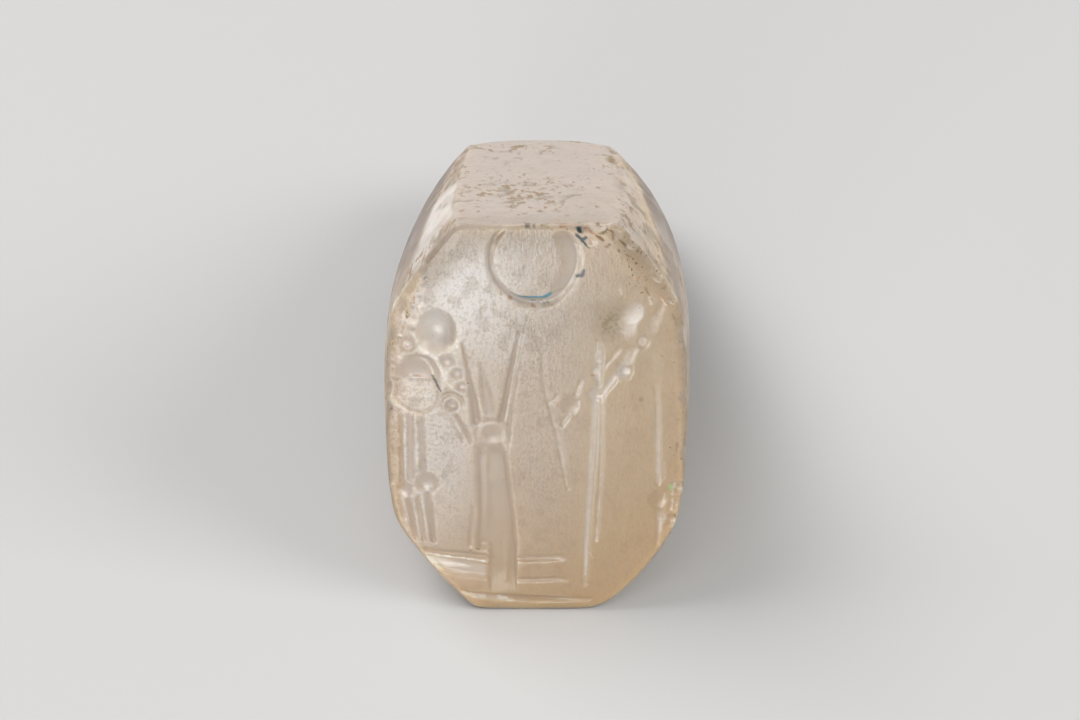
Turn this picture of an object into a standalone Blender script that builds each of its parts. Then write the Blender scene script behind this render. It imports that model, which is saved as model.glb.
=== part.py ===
"""Stamp seal of pale chalcedony: an eight-sided pyramid whose convex octagonal base is engraved.

The seal lies on its lower side facet, with the engraved face towards -Y, leaning back by the facet's taper.
Seal coordinates, in millimetres: x across the face, h up the face and d from its rim towards the apex.
"""

import math

import bmesh
import bpy
from mathutils import Vector

MM = 0.001

# Body
DEPTH = 25.0                            # face rim to the edge of the apex
UPPER_REACH = 10.86                     # middle of the face to its upper edge
LOWER_REACH = 10.70                     # middle of the face to its lower edge
FACET_DROP = 7.8                        # how far the upper and lower facets close in over DEPTH
TAPER = math.atan2(FACET_DROP, DEPTH)
FACE_CROWN = 0.45
APEX_CROWN = 0.9
RIM_ROUND = 0.16
HOLE_RADIUS = 1.3
HOLE_DEPTH = 18.5

# Outline of the sections across the seal: values at the face, half way and at the apex
UPPER_FACET_HALF = (3.85, 4.12, 3.43)
LOWER_FACET_HALF = (3.05, 3.30, 2.95)
UPPER_CHAMFER_DROP = (4.49, 1.28, 0.86)
LOWER_CHAMFER_DROP = (5.05, 1.90, 0.90)
SIDE_EDGE_HALF = (7.00, 5.38, 4.10)
SIDE_BULGE = (0.36, 1.82, 0.52)
SIDE_BULGE_POWER = 3                    # 2 would be an even curve; more keeps the middle of a side flat
LEAN = 0.21                             # the most that the sections drift to the right, at LEAN_DEPTH
LEAN_DEPTH = 2 / 3                      # share of the depth
APEX_LEAN = 0.08

# Chamfers, ground by hand: the lower left corner is crisp and the lower right one worn round
UPPER_BULGE = 0.10
LOWER_BULGE = {"left": 0.19, "right": 0.32}
LOWER_CORNER = {"left": (0.23, 0.30), "right": (0.85, 0.68)}    # width and height beside the lower facet
FULL_BULGE_RUN = 6.0                    # shorter chamfers bulge less
APEX = (APEX_LEAN, (UPPER_REACH - LOWER_REACH) / 2)

SIDE_STEPS = (0.86, 0.62, 0.32, 0.0, -0.32, -0.62, -0.86)
CHAMFER_STEPS = (0.25, 0.5, 0.75)
DEPTH_STEPS = (0.05, 0.13, 0.23, 0.34, 0.45, 0.56, 0.67, 0.78, 0.89, 0.96, 1.0)
FACE_RINGS = (0.94, 0.80, 0.60, 0.34)
APEX_RINGS = (0.95, 0.84, 0.66, 0.44, 0.20)

# Engraving
CENTRE_RAISE = 0.25                     # a cutter's centre stands above the face by this share of its depth
WIDE_STROKE = 0.42
FLAT_ANGLE = math.radians(0.5)
CRESCENT_CENTRE = (-0.07, 9.0)


def start_scene():
    """Empty the file and make the two collections."""
    for old in list(bpy.data.objects):
        bpy.data.objects.remove(old, do_unlink=True)
    groups = []
    for name in ("Stamp seal", "Cutters"):
        group = bpy.data.collections.new(name)
        bpy.context.scene.collection.children.link(group)
        groups.append(group)
    return groups


def chalcedony():
    """Milky stone, pinkish beige, with a soft polish."""
    material = bpy.data.materials.new("chalcedony")
    material.use_nodes = True
    shader = material.node_tree.nodes["Principled BSDF"]
    shader.inputs["Base Color"].default_value = (0.62, 0.52, 0.42, 1.0)
    shader.inputs["Roughness"].default_value = 0.35
    shader.inputs["Metallic"].default_value = 0.0
    return material


def between(values, t):
    """Smooth curve through the values at the face (t = 0), half way (t = 0.5) and at the apex (t = 1)."""
    face, middle, apex = values
    return face * (1 - t) * (1 - 2 * t) + middle * 4 * t * (1 - t) + apex * t * (2 * t - 1)


def lean(t):
    """How far the section at depth share t stands to the right of the face."""
    peak = LEAN_DEPTH ** 2 * (1 - LEAN_DEPTH)
    return t * t * (LEAN * (1 - t) / peak + APEX_LEAN)


def crown(x, h):
    """How far the convex face stands out from the plane of its rim."""
    across = max(0.0, 1 - (x / SIDE_EDGE_HALF[0]) ** 2)
    along = max(0.0, 1 - (h / UPPER_REACH) ** 2)
    return FACE_CROWN * across * along


def chamfer(start, end, bulge):
    """Points between the ends of a chamfer, raised outwards in its middle by the bulge."""
    run_x, run_h = end[0] - start[0], end[1] - start[1]
    run = math.hypot(run_x, run_h)
    raise_by = bulge * min(1.0, run / FULL_BULGE_RUN) / run
    points = []
    for s in CHAMFER_STEPS:
        raised = raise_by * 4 * s * (1 - s)
        points.append((start[0] + run_x * s - run_h * raised, start[1] + run_h * s + run_x * raised))
    return points


def half_section(t, hand):
    """Half of the section at depth share t, from the upper facet's middle down to the lower one's."""
    top = UPPER_REACH - FACET_DROP * t
    bottom = -LOWER_REACH + FACET_DROP * t
    side = between(SIDE_EDGE_HALF, t)
    bulge = between(SIDE_BULGE, t)
    upper_edge = top - between(UPPER_CHAMFER_DROP, t)
    lower_edge = bottom + between(LOWER_CHAMFER_DROP, t)
    upper_corner = (between(UPPER_FACET_HALF, t), top)
    lower_half = between(LOWER_FACET_HALF, t)
    corner_width, corner_height = LOWER_CORNER[hand]
    lower_corner = (lower_half + corner_width, bottom + corner_height)

    points = [(0.0, top), upper_corner]
    points += [*chamfer(upper_corner, (side, upper_edge), UPPER_BULGE), (side, upper_edge)]
    for q in SIDE_STEPS:
        h = q * (upper_edge if q > 0 else -lower_edge)
        points.append((side + bulge * (1 - abs(q) ** SIDE_BULGE_POWER), h))
    points += [(side, lower_edge), *chamfer((side, lower_edge), lower_corner, LOWER_BULGE[hand]), lower_corner]
    points += [(lower_half, bottom), (0.0, bottom)]
    return points


def section(t):
    """Whole outline at depth share t, as one closed loop."""
    right = half_section(t, "right")
    left = [(-x, h) for x, h in reversed(half_section(t, "left")[1:-1])]
    return [(x + lean(t), h) for x, h in right + left]


def body_rings():
    """Loops of (x, h, d) from the face's middle, over the rim and along the facets to the apex."""
    rim = section(0.0)
    inset = 1 - RIM_ROUND / SIDE_EDGE_HALF[0]
    rings = []
    for scale in reversed(FACE_RINGS):
        rings.append([(x * scale, h * scale, -crown(x * scale, h * scale)) for x, h in rim])
    rings.append([(x * inset, h * inset, 0.0) for x, h in rim])
    rings.append([(x, h, RIM_ROUND) for x, h in section(RIM_ROUND / DEPTH)])
    for t in DEPTH_STEPS:
        rings.append([(x, h, t * DEPTH) for x, h in section(t)])
    for scale in APEX_RINGS:
        d = DEPTH + APEX_CROWN * math.sqrt(1 - scale ** 2)
        ring = [(APEX[0] + (x - APEX[0]) * scale, APEX[1] + (h - APEX[1]) * scale, d) for x, h in section(1.0)]
        rings.append(ring)
    return rings


def object_from(bm, name, group):
    """Turn a bmesh in millimetres into an object in metres."""
    bmesh.ops.scale(bm, vec=(MM, MM, MM), verts=bm.verts)
    bmesh.ops.recalc_face_normals(bm, faces=bm.faces)
    mesh = bpy.data.meshes.new(name)
    bm.to_mesh(mesh)
    bm.free()
    made = bpy.data.objects.new(name, mesh)
    group.objects.link(made)
    return made


def build_body(group):
    """Loft the rings into the closed seal, before it is engraved."""
    bm = bmesh.new()
    loops = [[bm.verts.new((x, d, h)) for x, h, d in ring] for ring in body_rings()]
    count = len(loops[0])
    for near, far in zip(loops, loops[1:]):
        for i in range(count):
            j = (i + 1) % count
            bm.faces.new((near[i], near[j], far[j], far[i]))
    face_tip = bm.verts.new((0.0, -FACE_CROWN, 0.0))
    apex_tip = bm.verts.new((APEX[0], DEPTH + APEX_CROWN, APEX[1]))
    for i in range(count):
        j = (i + 1) % count
        bm.faces.new((face_tip, loops[0][i], loops[0][j]))
        bm.faces.new((apex_tip, loops[-1][j], loops[-1][i]))
    return object_from(bm, "seal_body", group)


def ball_points(x, h, half_width, depth):
    """Points of a flattened ball that sinks to the given depth in the face."""
    bm = bmesh.new()
    segments = 18 if half_width > WIDE_STROKE else 12
    bmesh.ops.create_uvsphere(bm, u_segments=segments, v_segments=8, radius=1.0)
    middle = -crown(x, h) - depth * CENTRE_RAISE
    points = []
    for vert in bm.verts:
        across, up, out = vert.co
        points.append((x + across * half_width, middle + out * depth * (1 + CENTRE_RAISE), h + up * half_width))
    bm.free()
    return points


def cut_hollow(group, name, depth, *places):
    """Cutter for a drilled ball or a stroke: the hull of flattened balls at (x, h, half width)."""
    bm = bmesh.new()
    for x, h, half_width in places:
        for point in ball_points(x, h, half_width, depth):
            bm.verts.new(point)
    hull = bmesh.ops.convex_hull(bm, input=bm.verts)
    inner = set(hull["geom_interior"] + hull["geom_unused"])
    bmesh.ops.delete(bm, geom=[item for item in inner if isinstance(item, bmesh.types.BMVert)], context="VERTS")
    bmesh.ops.dissolve_limit(bm, angle_limit=FLAT_ANGLE, verts=bm.verts, edges=bm.edges)
    return as_cutter(object_from(bm, name, group))


def cut_arc(group, name, centre, radius, half_width, depth, start, end, points=24, taper=0.45):
    """Cutter for a groove along an arc, from angle start to angle end in degrees, thinner at open ends."""
    closed = end - start >= 360
    curve = bpy.data.curves.new(name, "CURVE")
    curve.dimensions = "3D"
    curve.bevel_depth = half_width
    curve.bevel_resolution = 2
    curve.use_fill_caps = True
    spline = curve.splines.new("POLY")
    spline.points.add(points - 1)
    spline.use_cyclic_u = closed
    for i, point in enumerate(spline.points):
        share = i / points if closed else i / (points - 1)
        angle = math.radians(start + (end - start) * share)
        x = centre[0] + radius * math.cos(angle)
        h = centre[1] + radius * math.sin(angle)
        point.co = (x, 0.0, h, 1.0)
        point.radius = 1.0 if closed else taper + (1 - taper) * math.sin(math.pi * share)
    drawn = bpy.data.objects.new(name, curve)
    group.objects.link(drawn)
    bpy.context.view_layer.update()
    evaluated = drawn.evaluated_get(bpy.context.evaluated_depsgraph_get())
    mesh = bpy.data.meshes.new_from_object(evaluated)
    bpy.data.objects.remove(drawn, do_unlink=True)

    bm = bmesh.new()
    bm.from_mesh(mesh)
    bpy.data.meshes.remove(mesh)
    bmesh.ops.remove_doubles(bm, verts=bm.verts, dist=0.0001)
    for vert in bm.verts:
        vert.co.y = vert.co.y * depth / half_width - crown(vert.co.x, vert.co.z)
    return as_cutter(object_from(bm, name, group))


def as_cutter(cutter):
    """Keep a cutter out of renders and draw it as a wire."""
    cutter.hide_render = True
    cutter.display_type = "WIRE"
    return cutter


def cut_crescent(group):
    """Crescent moon: two concentric grooves of a tube drill with a thin ridge between them."""
    cut_arc(group, "crescent_outer", CRESCENT_CENTRE, 2.42, 0.24, 0.34, 140, 378, points=30)
    cut_arc(group, "crescent_inner", CRESCENT_CENTRE, 2.03, 0.15, 0.24, 150, 350, points=26)


def cut_left_figure(group):
    """Standing figure at the left: drilled head, rounded body, raised arm and two legs with drilled knees."""
    cut_hollow(group, "left_head", 0.75, (-4.95, 5.00, 1.03), (-4.95, 5.30, 1.03))
    cut_arc(group, "left_ear", (-6.35, 4.30), 0.30, 0.11, 0.14, 0, 360, points=12)
    cut_hollow(group, "left_shoulder", 0.55, (-5.85, 2.80, 1.08))
    cut_hollow(group, "left_body", 0.42, (-6.50, 2.05, 0.36), (-5.22, 2.05, 0.36), (-6.15, 0.90, 0.36),
               (-5.25, 1.00, 0.36))
    cut_hollow(group, "left_hand", 0.30, (-4.40, 3.55, 0.42))
    cut_hollow(group, "left_wrist", 0.30, (-4.05, 2.72, 0.42))
    cut_hollow(group, "left_forearm", 0.26, (-3.70, 2.10, 0.32))
    cut_arc(group, "left_elbow_ring", (-4.20, 1.30), 0.50, 0.13, 0.18, 0, 360, points=14)
    cut_hollow(group, "left_elbow", 0.26, (-4.20, 1.30, 0.27))
    cut_hollow(group, "left_sleeve", 0.16, (-3.78, 0.55, 0.13), (-3.30, -0.85, 0.13))
    cut_hollow(group, "left_back_thigh", 0.20, (-6.45, 0.55, 0.17), (-6.38, -3.20, 0.17))
    cut_hollow(group, "left_front_thigh", 0.22, (-5.86, 0.45, 0.20), (-5.66, -3.00, 0.20))
    cut_hollow(group, "left_front_knee", 0.38, (-5.45, -3.40, 0.55))
    cut_hollow(group, "left_back_knee", 0.32, (-6.55, -3.80, 0.46))
    cut_hollow(group, "left_front_shin", 0.20, (-5.55, -4.00, 0.20), (-5.24, -6.75, 0.17))
    cut_hollow(group, "left_back_shin", 0.18, (-6.38, -4.30, 0.17), (-6.12, -6.20, 0.15))


def cut_standard(group):
    """Standard in the middle: two arms in a V, a ringed disc and a broad tapered post."""
    cut_hollow(group, "standard_left_arm", 0.26, (-3.58, 4.30, 0.12), (-2.88, 0.20, 0.21))
    cut_hollow(group, "standard_right_arm", 0.26, (-0.80, 5.20, 0.13), (-1.58, 0.25, 0.28))
    cut_hollow(group, "standard_blade", 0.12, (-2.48, 2.90, 0.13), (-2.38, 0.60, 0.38))
    cut_arc(group, "standard_ring", (-2.15, -0.50), 0.74, 0.15, 0.26, -25, 205, points=16, taper=0.7)
    cut_hollow(group, "standard_disc", 0.45, (-2.15, -0.52, 0.50))
    cut_hollow(group, "standard_post", 0.42, (-2.62, -1.45, 0.46), (-2.00, -1.45, 0.44), (-2.52, -6.40, 0.48),
               (-1.36, -6.40, 0.46))
    cut_hollow(group, "standard_foot", 0.38, (-2.02, -6.20, 0.44), (-1.40, -6.20, 0.42), (-2.02, -9.00, 0.42),
               (-1.38, -9.00, 0.40))


def cut_plant(group):
    """Plant between the standard and the staff: a long stem, a drilled bud and three short leaves."""
    cut_hollow(group, "plant_stem", 0.18, (0.38, 3.90, 0.10), (1.58, -3.90, 0.20))
    cut_hollow(group, "plant_bud", 0.30, (1.46, 1.15, 0.48))
    cut_hollow(group, "plant_left_leaf", 0.12, (0.66, 1.28, 0.08), (1.04, 1.76, 0.08))
    cut_hollow(group, "plant_right_leaf", 0.13, (1.92, 1.75, 0.09), (2.16, 2.50, 0.07))
    cut_hollow(group, "plant_lower_leaf", 0.13, (1.18, 0.02, 0.08), (1.48, 0.50, 0.10))


def cut_staff(group):
    """Beaded staff at the right, with a branch that climbs towards the second figure's head."""
    cut_hollow(group, "staff_shaft", 0.32, (2.96, 1.20, 0.25), (2.42, -8.60, 0.32))
    cut_hollow(group, "staff_lower_bead", 0.32, (2.93, 1.62, 0.36))
    cut_hollow(group, "staff_upper_bead", 0.30, (2.90, 2.90, 0.33))
    cut_hollow(group, "staff_bar", 0.26, (3.04, 4.45, 0.17), (2.92, 2.35, 0.17))
    cut_hollow(group, "staff_twig", 0.13, (3.28, 3.20, 0.07), (3.95, 4.10, 0.09))
    cut_hollow(group, "branch_root", 0.24, (3.34, 1.62, 0.15), (3.82, 2.50, 0.24))
    cut_hollow(group, "branch_lower_bead", 0.36, (4.42, 3.02, 0.44))
    cut_hollow(group, "branch_middle", 0.24, (4.35, 3.45, 0.24), (4.74, 4.02, 0.24))
    cut_hollow(group, "branch_upper_bead", 0.32, (5.18, 4.48, 0.37))
    cut_hollow(group, "branch_tip", 0.24, (5.48, 5.15, 0.25), (5.98, 5.95, 0.22))


def cut_right_figure(group):
    """Figure at the right edge: drilled head, and a leg with its knee beside the rim."""
    cut_hollow(group, "right_head", 0.40, (4.10, 5.75, 1.10), (4.35, 5.90, 1.05))
    cut_hollow(group, "right_thigh", 0.20, (5.90, 1.90, 0.13), (5.94, -3.50, 0.17))
    cut_hollow(group, "right_knee", 0.34, (5.98, -4.22, 0.52))
    cut_hollow(group, "right_shin", 0.20, (6.10, -4.90, 0.18), (5.92, -6.60, 0.14))


def cut_ground_lines(group):
    """Ground: two bands left of the post, two right of it and one below them all."""
    cut_hollow(group, "ground_left_upper", 0.22, (-5.35, -7.25, 0.14), (-2.66, -7.62, 0.24))
    cut_hollow(group, "ground_left_lower", 0.22, (-4.90, -8.05, 0.16), (-2.70, -8.55, 0.28))
    cut_hollow(group, "ground_right_upper", 0.20, (-0.90, -7.62, 0.22), (1.25, -7.52, 0.18))
    cut_hollow(group, "ground_right_lower", 0.20, (-0.90, -8.95, 0.20), (1.50, -8.85, 0.16))
    cut_hollow(group, "ground_base_left", 0.22, (-3.55, -9.45, 0.13), (-2.30, -9.76, 0.20))
    cut_hollow(group, "ground_base_right", 0.22, (-2.30, -9.76, 0.20), (2.20, -9.98, 0.16))


def cut_string_hole(group):
    """Round hole for the string, straight through the sides near the apex."""
    bm = bmesh.new()
    length = 2.4 * SIDE_EDGE_HALF[0]
    radius = HOLE_RADIUS
    bmesh.ops.create_cone(bm, cap_ends=True, segments=24, radius1=radius, radius2=radius, depth=length)
    for vert in bm.verts:
        vert.co = Vector((vert.co.z, HOLE_DEPTH + vert.co.y, vert.co.x))
    return as_cutter(object_from(bm, "string_hole", group))


def lay_down(body, cutters):
    """Tip the seal onto its lower facet and centre its footprint on the origin."""
    rest = bpy.data.objects.new("resting_place", None)
    body.users_collection[0].objects.link(rest)
    rest.rotation_euler = (-TAPER, 0.0, 0.0)
    rest.location.z = LOWER_REACH * math.cos(TAPER) * MM
    for piece in [body, *cutters.objects]:
        piece.parent = rest
    bpy.context.view_layer.update()
    corners = [body.matrix_world @ vert.co for vert in body.data.vertices]
    for axis in (0, 1):
        reach = [corner[axis] for corner in corners]
        rest.location[axis] = -(min(reach) + max(reach)) / 2
    bpy.context.view_layer.update()


def main():
    group, cutters = start_scene()
    body = build_body(group)
    body.data.materials.append(chalcedony())
    for cut in (cut_crescent, cut_left_figure, cut_standard, cut_plant, cut_staff, cut_right_figure,
                cut_ground_lines, cut_string_hole):
        cut(cutters)
    engraving = body.modifiers.new("engraving", "BOOLEAN")
    engraving.operation = "DIFFERENCE"
    engraving.operand_type = "COLLECTION"
    engraving.collection = cutters
    engraving.solver = "EXACT"
    lay_down(body, cutters)


main()
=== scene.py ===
"""Looks of the stamp seal: one piece of milky chalcedony, engraved, worn and stained, on a pale floor.

Seal coordinates are the CAD's, in millimetres: x across the face, h up the face and d from the face's rim
towards the apex. in_row_frame() turns them into the row frame, in metres.
"""

import math

import bmesh
import bpy
import numpy as np
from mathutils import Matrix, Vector

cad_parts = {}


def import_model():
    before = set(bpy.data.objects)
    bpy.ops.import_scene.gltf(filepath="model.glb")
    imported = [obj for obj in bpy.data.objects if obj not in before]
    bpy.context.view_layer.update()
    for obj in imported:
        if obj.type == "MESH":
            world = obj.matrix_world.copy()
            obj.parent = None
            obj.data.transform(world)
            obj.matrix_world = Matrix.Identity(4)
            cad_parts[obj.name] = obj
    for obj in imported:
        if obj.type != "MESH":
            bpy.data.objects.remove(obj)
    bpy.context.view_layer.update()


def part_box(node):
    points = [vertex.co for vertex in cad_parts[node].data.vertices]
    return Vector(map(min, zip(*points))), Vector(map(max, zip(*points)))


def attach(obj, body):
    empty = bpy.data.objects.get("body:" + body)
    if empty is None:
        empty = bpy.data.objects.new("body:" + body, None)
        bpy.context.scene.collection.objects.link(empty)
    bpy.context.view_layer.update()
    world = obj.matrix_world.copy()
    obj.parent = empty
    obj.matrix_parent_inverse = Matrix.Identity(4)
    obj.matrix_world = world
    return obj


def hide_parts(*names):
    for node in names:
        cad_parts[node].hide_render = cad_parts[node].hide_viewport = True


MM = 0.001

# Body, as in the CAD. Three values hold at the face, half way to the apex and at the apex.
DEPTH = 25.0
UPPER_REACH = 10.86
LOWER_REACH = 10.7
FACET_DROP = 7.8
TAPER = math.atan2(FACET_DROP, DEPTH)
FACE_CROWN = 0.45
APEX_CROWN = 0.9
RIM_ROUND = 0.16
HOLE_DEPTH = 18.5
UPPER_FACET_HALF = (3.85, 4.12, 3.43)
LOWER_FACET_HALF = (3.05, 3.3, 2.95)
UPPER_CHAMFER_DROP = (4.49, 1.28, 0.86)
LOWER_CHAMFER_DROP = (5.05, 1.9, 0.9)
SIDE_EDGE_HALF = (7.0, 5.38, 4.1)
SIDE_BULGE = (0.36, 1.82, 0.52)
SIDE_BULGE_POWER = 3
LEAN = 0.21
LEAN_DEPTH = 2 / 3
APEX_LEAN = 0.08
UPPER_BULGE = 0.1
LOWER_BULGE = {"left": 0.19, "right": 0.32}
LOWER_CORNER = {"left": (0.23, 0.3), "right": (0.85, 0.68)}
FULL_BULGE_RUN = 6.0
APEX = (APEX_LEAN, (UPPER_REACH - LOWER_REACH) / 2)
RIM_INSET = 1 - RIM_ROUND / SIDE_EDGE_HALF[0]

# Fineness of the mesh
FACE_COLUMNS = 204
FACE_ROWS = 296
TOP_STEPS = 30                          # in half of the upper facet's width
CHAMFER_STEPS = 30
SIDE_STEPS = 32
LOWER_CHAMFER_STEPS = 16
CORNER_STEPS = 3
BOTTOM_STEPS = 6
DEPTH_RINGS = 100
RIM_TURNS = (30, 60, 90)                # degrees round the rim
APEX_SCALES = (0.992, 0.97, 0.93, 0.87, 0.79, 0.68, 0.54, 0.38, 0.2)
EDGE_WEAR = 5                           # smoothing passes along each section
SOFT_EDGE_WEAR = 60                     # the edge beside the upper facet at the right is worn more
RIM_FADE = 5                            # cells over which the cuts run out at the rim
HOLE_POINTS = 52
HOLE_RINGS = 36
HOLE_PATCH = 2.15                       # radius of the side's grid that makes way for the hole's lip
# Rings of the lip: radius and depth below the side
HOLE_LIP = ((1.78, 0.0), (1.64, 0.01), (1.53, 0.04), (1.44, 0.1), (1.36, 0.2), (1.31, 0.34), (1.3, 0.5))

# Engraving
BALL_RAISE = 0.7                        # a cutting ball's middle over the face, as a share of the cut's depth
CUT_WEAR = 1                            # smoothing passes over the cuts
UNSTEADY = 0.07                         # how far the cuts wander
CRESCENT_CENTRE = (-0.07, 9.0)
# Steep right edge of the right figure's head, as (h, x)
HEAD_EDGE = ((4.5, 4.7), (5.0, 4.9), (5.5, 4.95), (5.9, 5.25), (6.4, 5.28), (6.9, 4.9))

# Parts of the mesh
FACE, SIDE, HOLE = range(3)


# ---------------------------------------------------------------- fields over the surface

def fade(low, high, value):
    """0 below low, 1 above high and smooth between them."""
    share = np.clip((value - low) / (high - low), 0.0, 1.0)
    return share * share * (3 - 2 * share)


def lumps(a, b, cell, seed):
    """Smooth random field from 0 to 1 over the coordinates a and b, with lumps about a cell wide."""
    size = 89
    table = np.random.default_rng(seed).random((size, size))
    u, v = a / cell, b / cell
    i, j = np.floor(u).astype(int), np.floor(v).astype(int)
    s, t = fade(0, 1, u - i), fade(0, 1, v - j)
    low = table[i % size, j % size] * (1 - s) + table[(i + 1) % size, j % size] * s
    high = table[i % size, (j + 1) % size] * (1 - s) + table[(i + 1) % size, (j + 1) % size] * s
    return low * (1 - t) + high * t


def rough(a, b, cell, seed, octaves=3):
    """Lumps of several sizes, each half as wide and as strong as the last. About 0 to 1."""
    total, weight = 0.0, 0.0
    for k in range(octaves):
        total = total + lumps(a, b, cell / 2 ** k, seed + k) / 2 ** k
        weight += 1 / 2 ** k
    return total / weight


def oval(a, b, centre, reach):
    """Distance from the centre of an oval: 1 on its outline."""
    return np.hypot((a - centre[0]) / reach[0], (b - centre[1]) / reach[1])


def spot(a, b, centre, reach, power=2):
    """1 at the centre and smoothly less around it, about a third of it at the reach."""
    return np.exp(-oval(a, b, centre, reach) ** power)


def stroke_share(x, h, places):
    """How far each point is from a stroke's middle line, as a share of the half width there."""
    share = np.full_like(x, np.inf)
    for (x0, h0, w0), (x1, h1, w1) in list(zip(places, places[1:])) or [(places[0], places[0])]:
        run_x, run_h = x1 - x0, h1 - h0
        along = ((x - x0) * run_x + (h - h0) * run_h) / max(run_x ** 2 + run_h ** 2, 1e-9)
        along = np.clip(along, 0, 1)
        gap = np.hypot(x - x0 - along * run_x, h - h0 - along * run_h)
        share = np.minimum(share, gap / (w0 + (w1 - w0) * along))
    return share


def round_cut(share):
    """Profile of a shallow cut by a wheel: 1 in the middle and 0 from its edge on."""
    return np.clip(1 - share ** 2, 0, 1)


def ball_cut(share):
    """Profile of a hollow cut by a ball, with steeper walls."""
    turn = 1 - (BALL_RAISE / (1 + BALL_RAISE)) ** 2
    return (1 + BALL_RAISE) * np.sqrt(np.clip(1 - turn * np.minimum(share, 1) ** 2, 0, 1)) - BALL_RAISE


def stroke(x, h, depth, *places, profile=round_cut):
    """Depth of a stroke through (x, h, half width) places. One place gives a drilled ball."""
    return depth * profile(stroke_share(x, h, places))


def hollow(x, h, depth, centre, reach):
    """Depth of an oval hollow cut by a ball, with the given half width and half height."""
    return depth * ball_cut(oval(x, h, centre, reach))


def dish(x, h, depth, centre, reach):
    """Depth of a shallow oval hollow without a clear edge."""
    return depth * round_cut(oval(x, h, centre, reach))


def band(across, along, depth, low, high, walls, ends):
    """Depth of a flat-floored band between two edges, each through (along, across) places.

    The walls and the ends slope over the widths given, for the low side first.
    """
    near, far = np.interp(along, *zip(*low)), np.interp(along, *zip(*high))
    sides = fade(0, walls[0], across - near) * fade(0, walls[1], far - across)
    return depth * sides * fade(0, ends[0], along - low[0][0]) * fade(0, ends[1], low[-1][0] - along)


def ring(x, h, depth, centre, radius, half_width, start=0.0, end=360.0):
    """Depth of a round groove from angle start to angle end, thinner towards open ends."""
    across, up = x - centre[0], h - centre[1]
    angle = (np.degrees(np.arctan2(up, across)) - start) % 360
    sweep = end - start
    taper = 1.0
    if sweep < 360:
        taper = np.where(angle < sweep, np.sin(np.pi * np.clip(angle / sweep, 0.001, 0.999)) ** 0.35, 1e-3)
    return depth * taper * round_cut(np.abs(np.hypot(across, up) - radius) / (half_width * taper))


# ---------------------------------------------------------------- engraving

def crescent(x, h):
    """Crescent moon: steep inside at its left and outside at its right, with gentler slopes opposite."""
    across, up = x - CRESCENT_CENTRE[0], h - CRESCENT_CENTRE[1]
    radius, angle = np.hypot(across, up), np.degrees(np.arctan2(up, across))
    below = np.clip(-up / np.maximum(radius, 1e-6), 0, 1)
    right = fade(-0.3, 0.9, np.cos(np.radians(angle)))
    outside = 2.5 + 0.2 * below ** 2 - 0.08 * right
    outer = fade(2.02, 2.16, radius) * fade(outside, outside - 0.3, radius) * (1 - 0.85 * right)
    wall = 2.16 + 0.3 * below ** 4
    slope = 0.2 + 0.8 * right
    inner = np.clip((radius - wall + slope) / slope, 0, 1) ** 1.5 * fade(wall + 0.05, wall - 0.04, radius)
    opening = fade(24, 40, np.abs((angle - 85 + 180) % 360 - 180))
    return np.maximum(0.23 * outer, 0.17 * inner * fade(-0.5, 0.6, right + below)) * opening


def left_figure(x, h):
    """Standing figure at the left: drilled head and hands, ringed elbow, rounded body and two legs."""
    cuts = [
        hollow(x, h, 0.6, (-4.93, 5.1), (1.02, 1.24)),
        hollow(x, h, 0.14, (-6.03, 5.52), (0.34, 0.36)),
        ring(x, h, 0.16, (-6.31, 4.24), 0.22, 0.1),
        dish(x, h, 0.1, (-6.31, 4.26), (0.46, 0.5)),
        hollow(x, h, 0.2, (-5.95, 2.75), (0.98, 1.05)) * (h > 2.45),
        ring(x, h, 0.16, (-5.9, 2.6), 1.02, 0.2, -28, 112),
        hollow(x, h, 0.2, (-4.41, 3.43), (0.43, 0.5)),
        hollow(x, h, 0.2, (-3.93, 2.76), (0.42, 0.42)),
        hollow(x, h, 0.18, (-3.68, 2.05), (0.34, 0.37)),
        ring(x, h, 0.13, (-4.2, 1.08), 0.56, 0.17, -20, 200),
        hollow(x, h, 0.15, (-4.17, 1.02), (0.36, 0.37)),
        stroke(x, h, 0.1, (-4.0, 0.5, 0.12), (-3.4, -0.6, 0.17), (-3.25, -1.0, 0.12)),
        stroke(x, h, 0.06, (-4.25, 0.25, 0.08), (-3.6, -1.0, 0.09)),
        stroke(x, h, 0.1, (-6.72, 0.35, 0.12), (-6.68, -1.5, 0.16), (-6.66, -3.3, 0.14)),
        stroke(x, h, 0.09, (-6.24, 0.4, 0.22), (-6.22, -3.2, 0.24)),
        stroke(x, h, 0.09, (-5.7, 0.5, 0.19), (-5.62, -2.8, 0.2)),
        hollow(x, h, 0.16, (-5.46, -3.36), (0.63, 0.64)),
        hollow(x, h, 0.12, (-6.6, -3.85), (0.46, 0.54)),
        stroke(x, h, 0.12, (-5.42, -4.0, 0.22), (-5.15, -6.6, 0.19)),
        stroke(x, h, 0.08, (-5.85, -4.2, 0.13), (-5.62, -6.6, 0.13)),
        stroke(x, h, 0.11, (-6.35, -4.4, 0.19), (-6.02, -6.6, 0.16)),
        stroke(x, h, 0.08, (-6.75, -4.4, 0.11), (-6.6, -5.4, 0.1)),
    ]
    return np.maximum.reduce(cuts)


def chalky_block(x, h):
    """Rough block of the left figure's body, cut flat above and rounded below: share from 0 to 1."""
    lower = 0.45 + 0.95 * ((x + 5.85) / 1.25) ** 2
    inside = fade(-7.08, -6.94, x) * fade(-4.72, -4.92, x) * fade(2.46, 2.38, h)
    return inside * fade(lower - 0.1, lower + 0.1, h)


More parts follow.
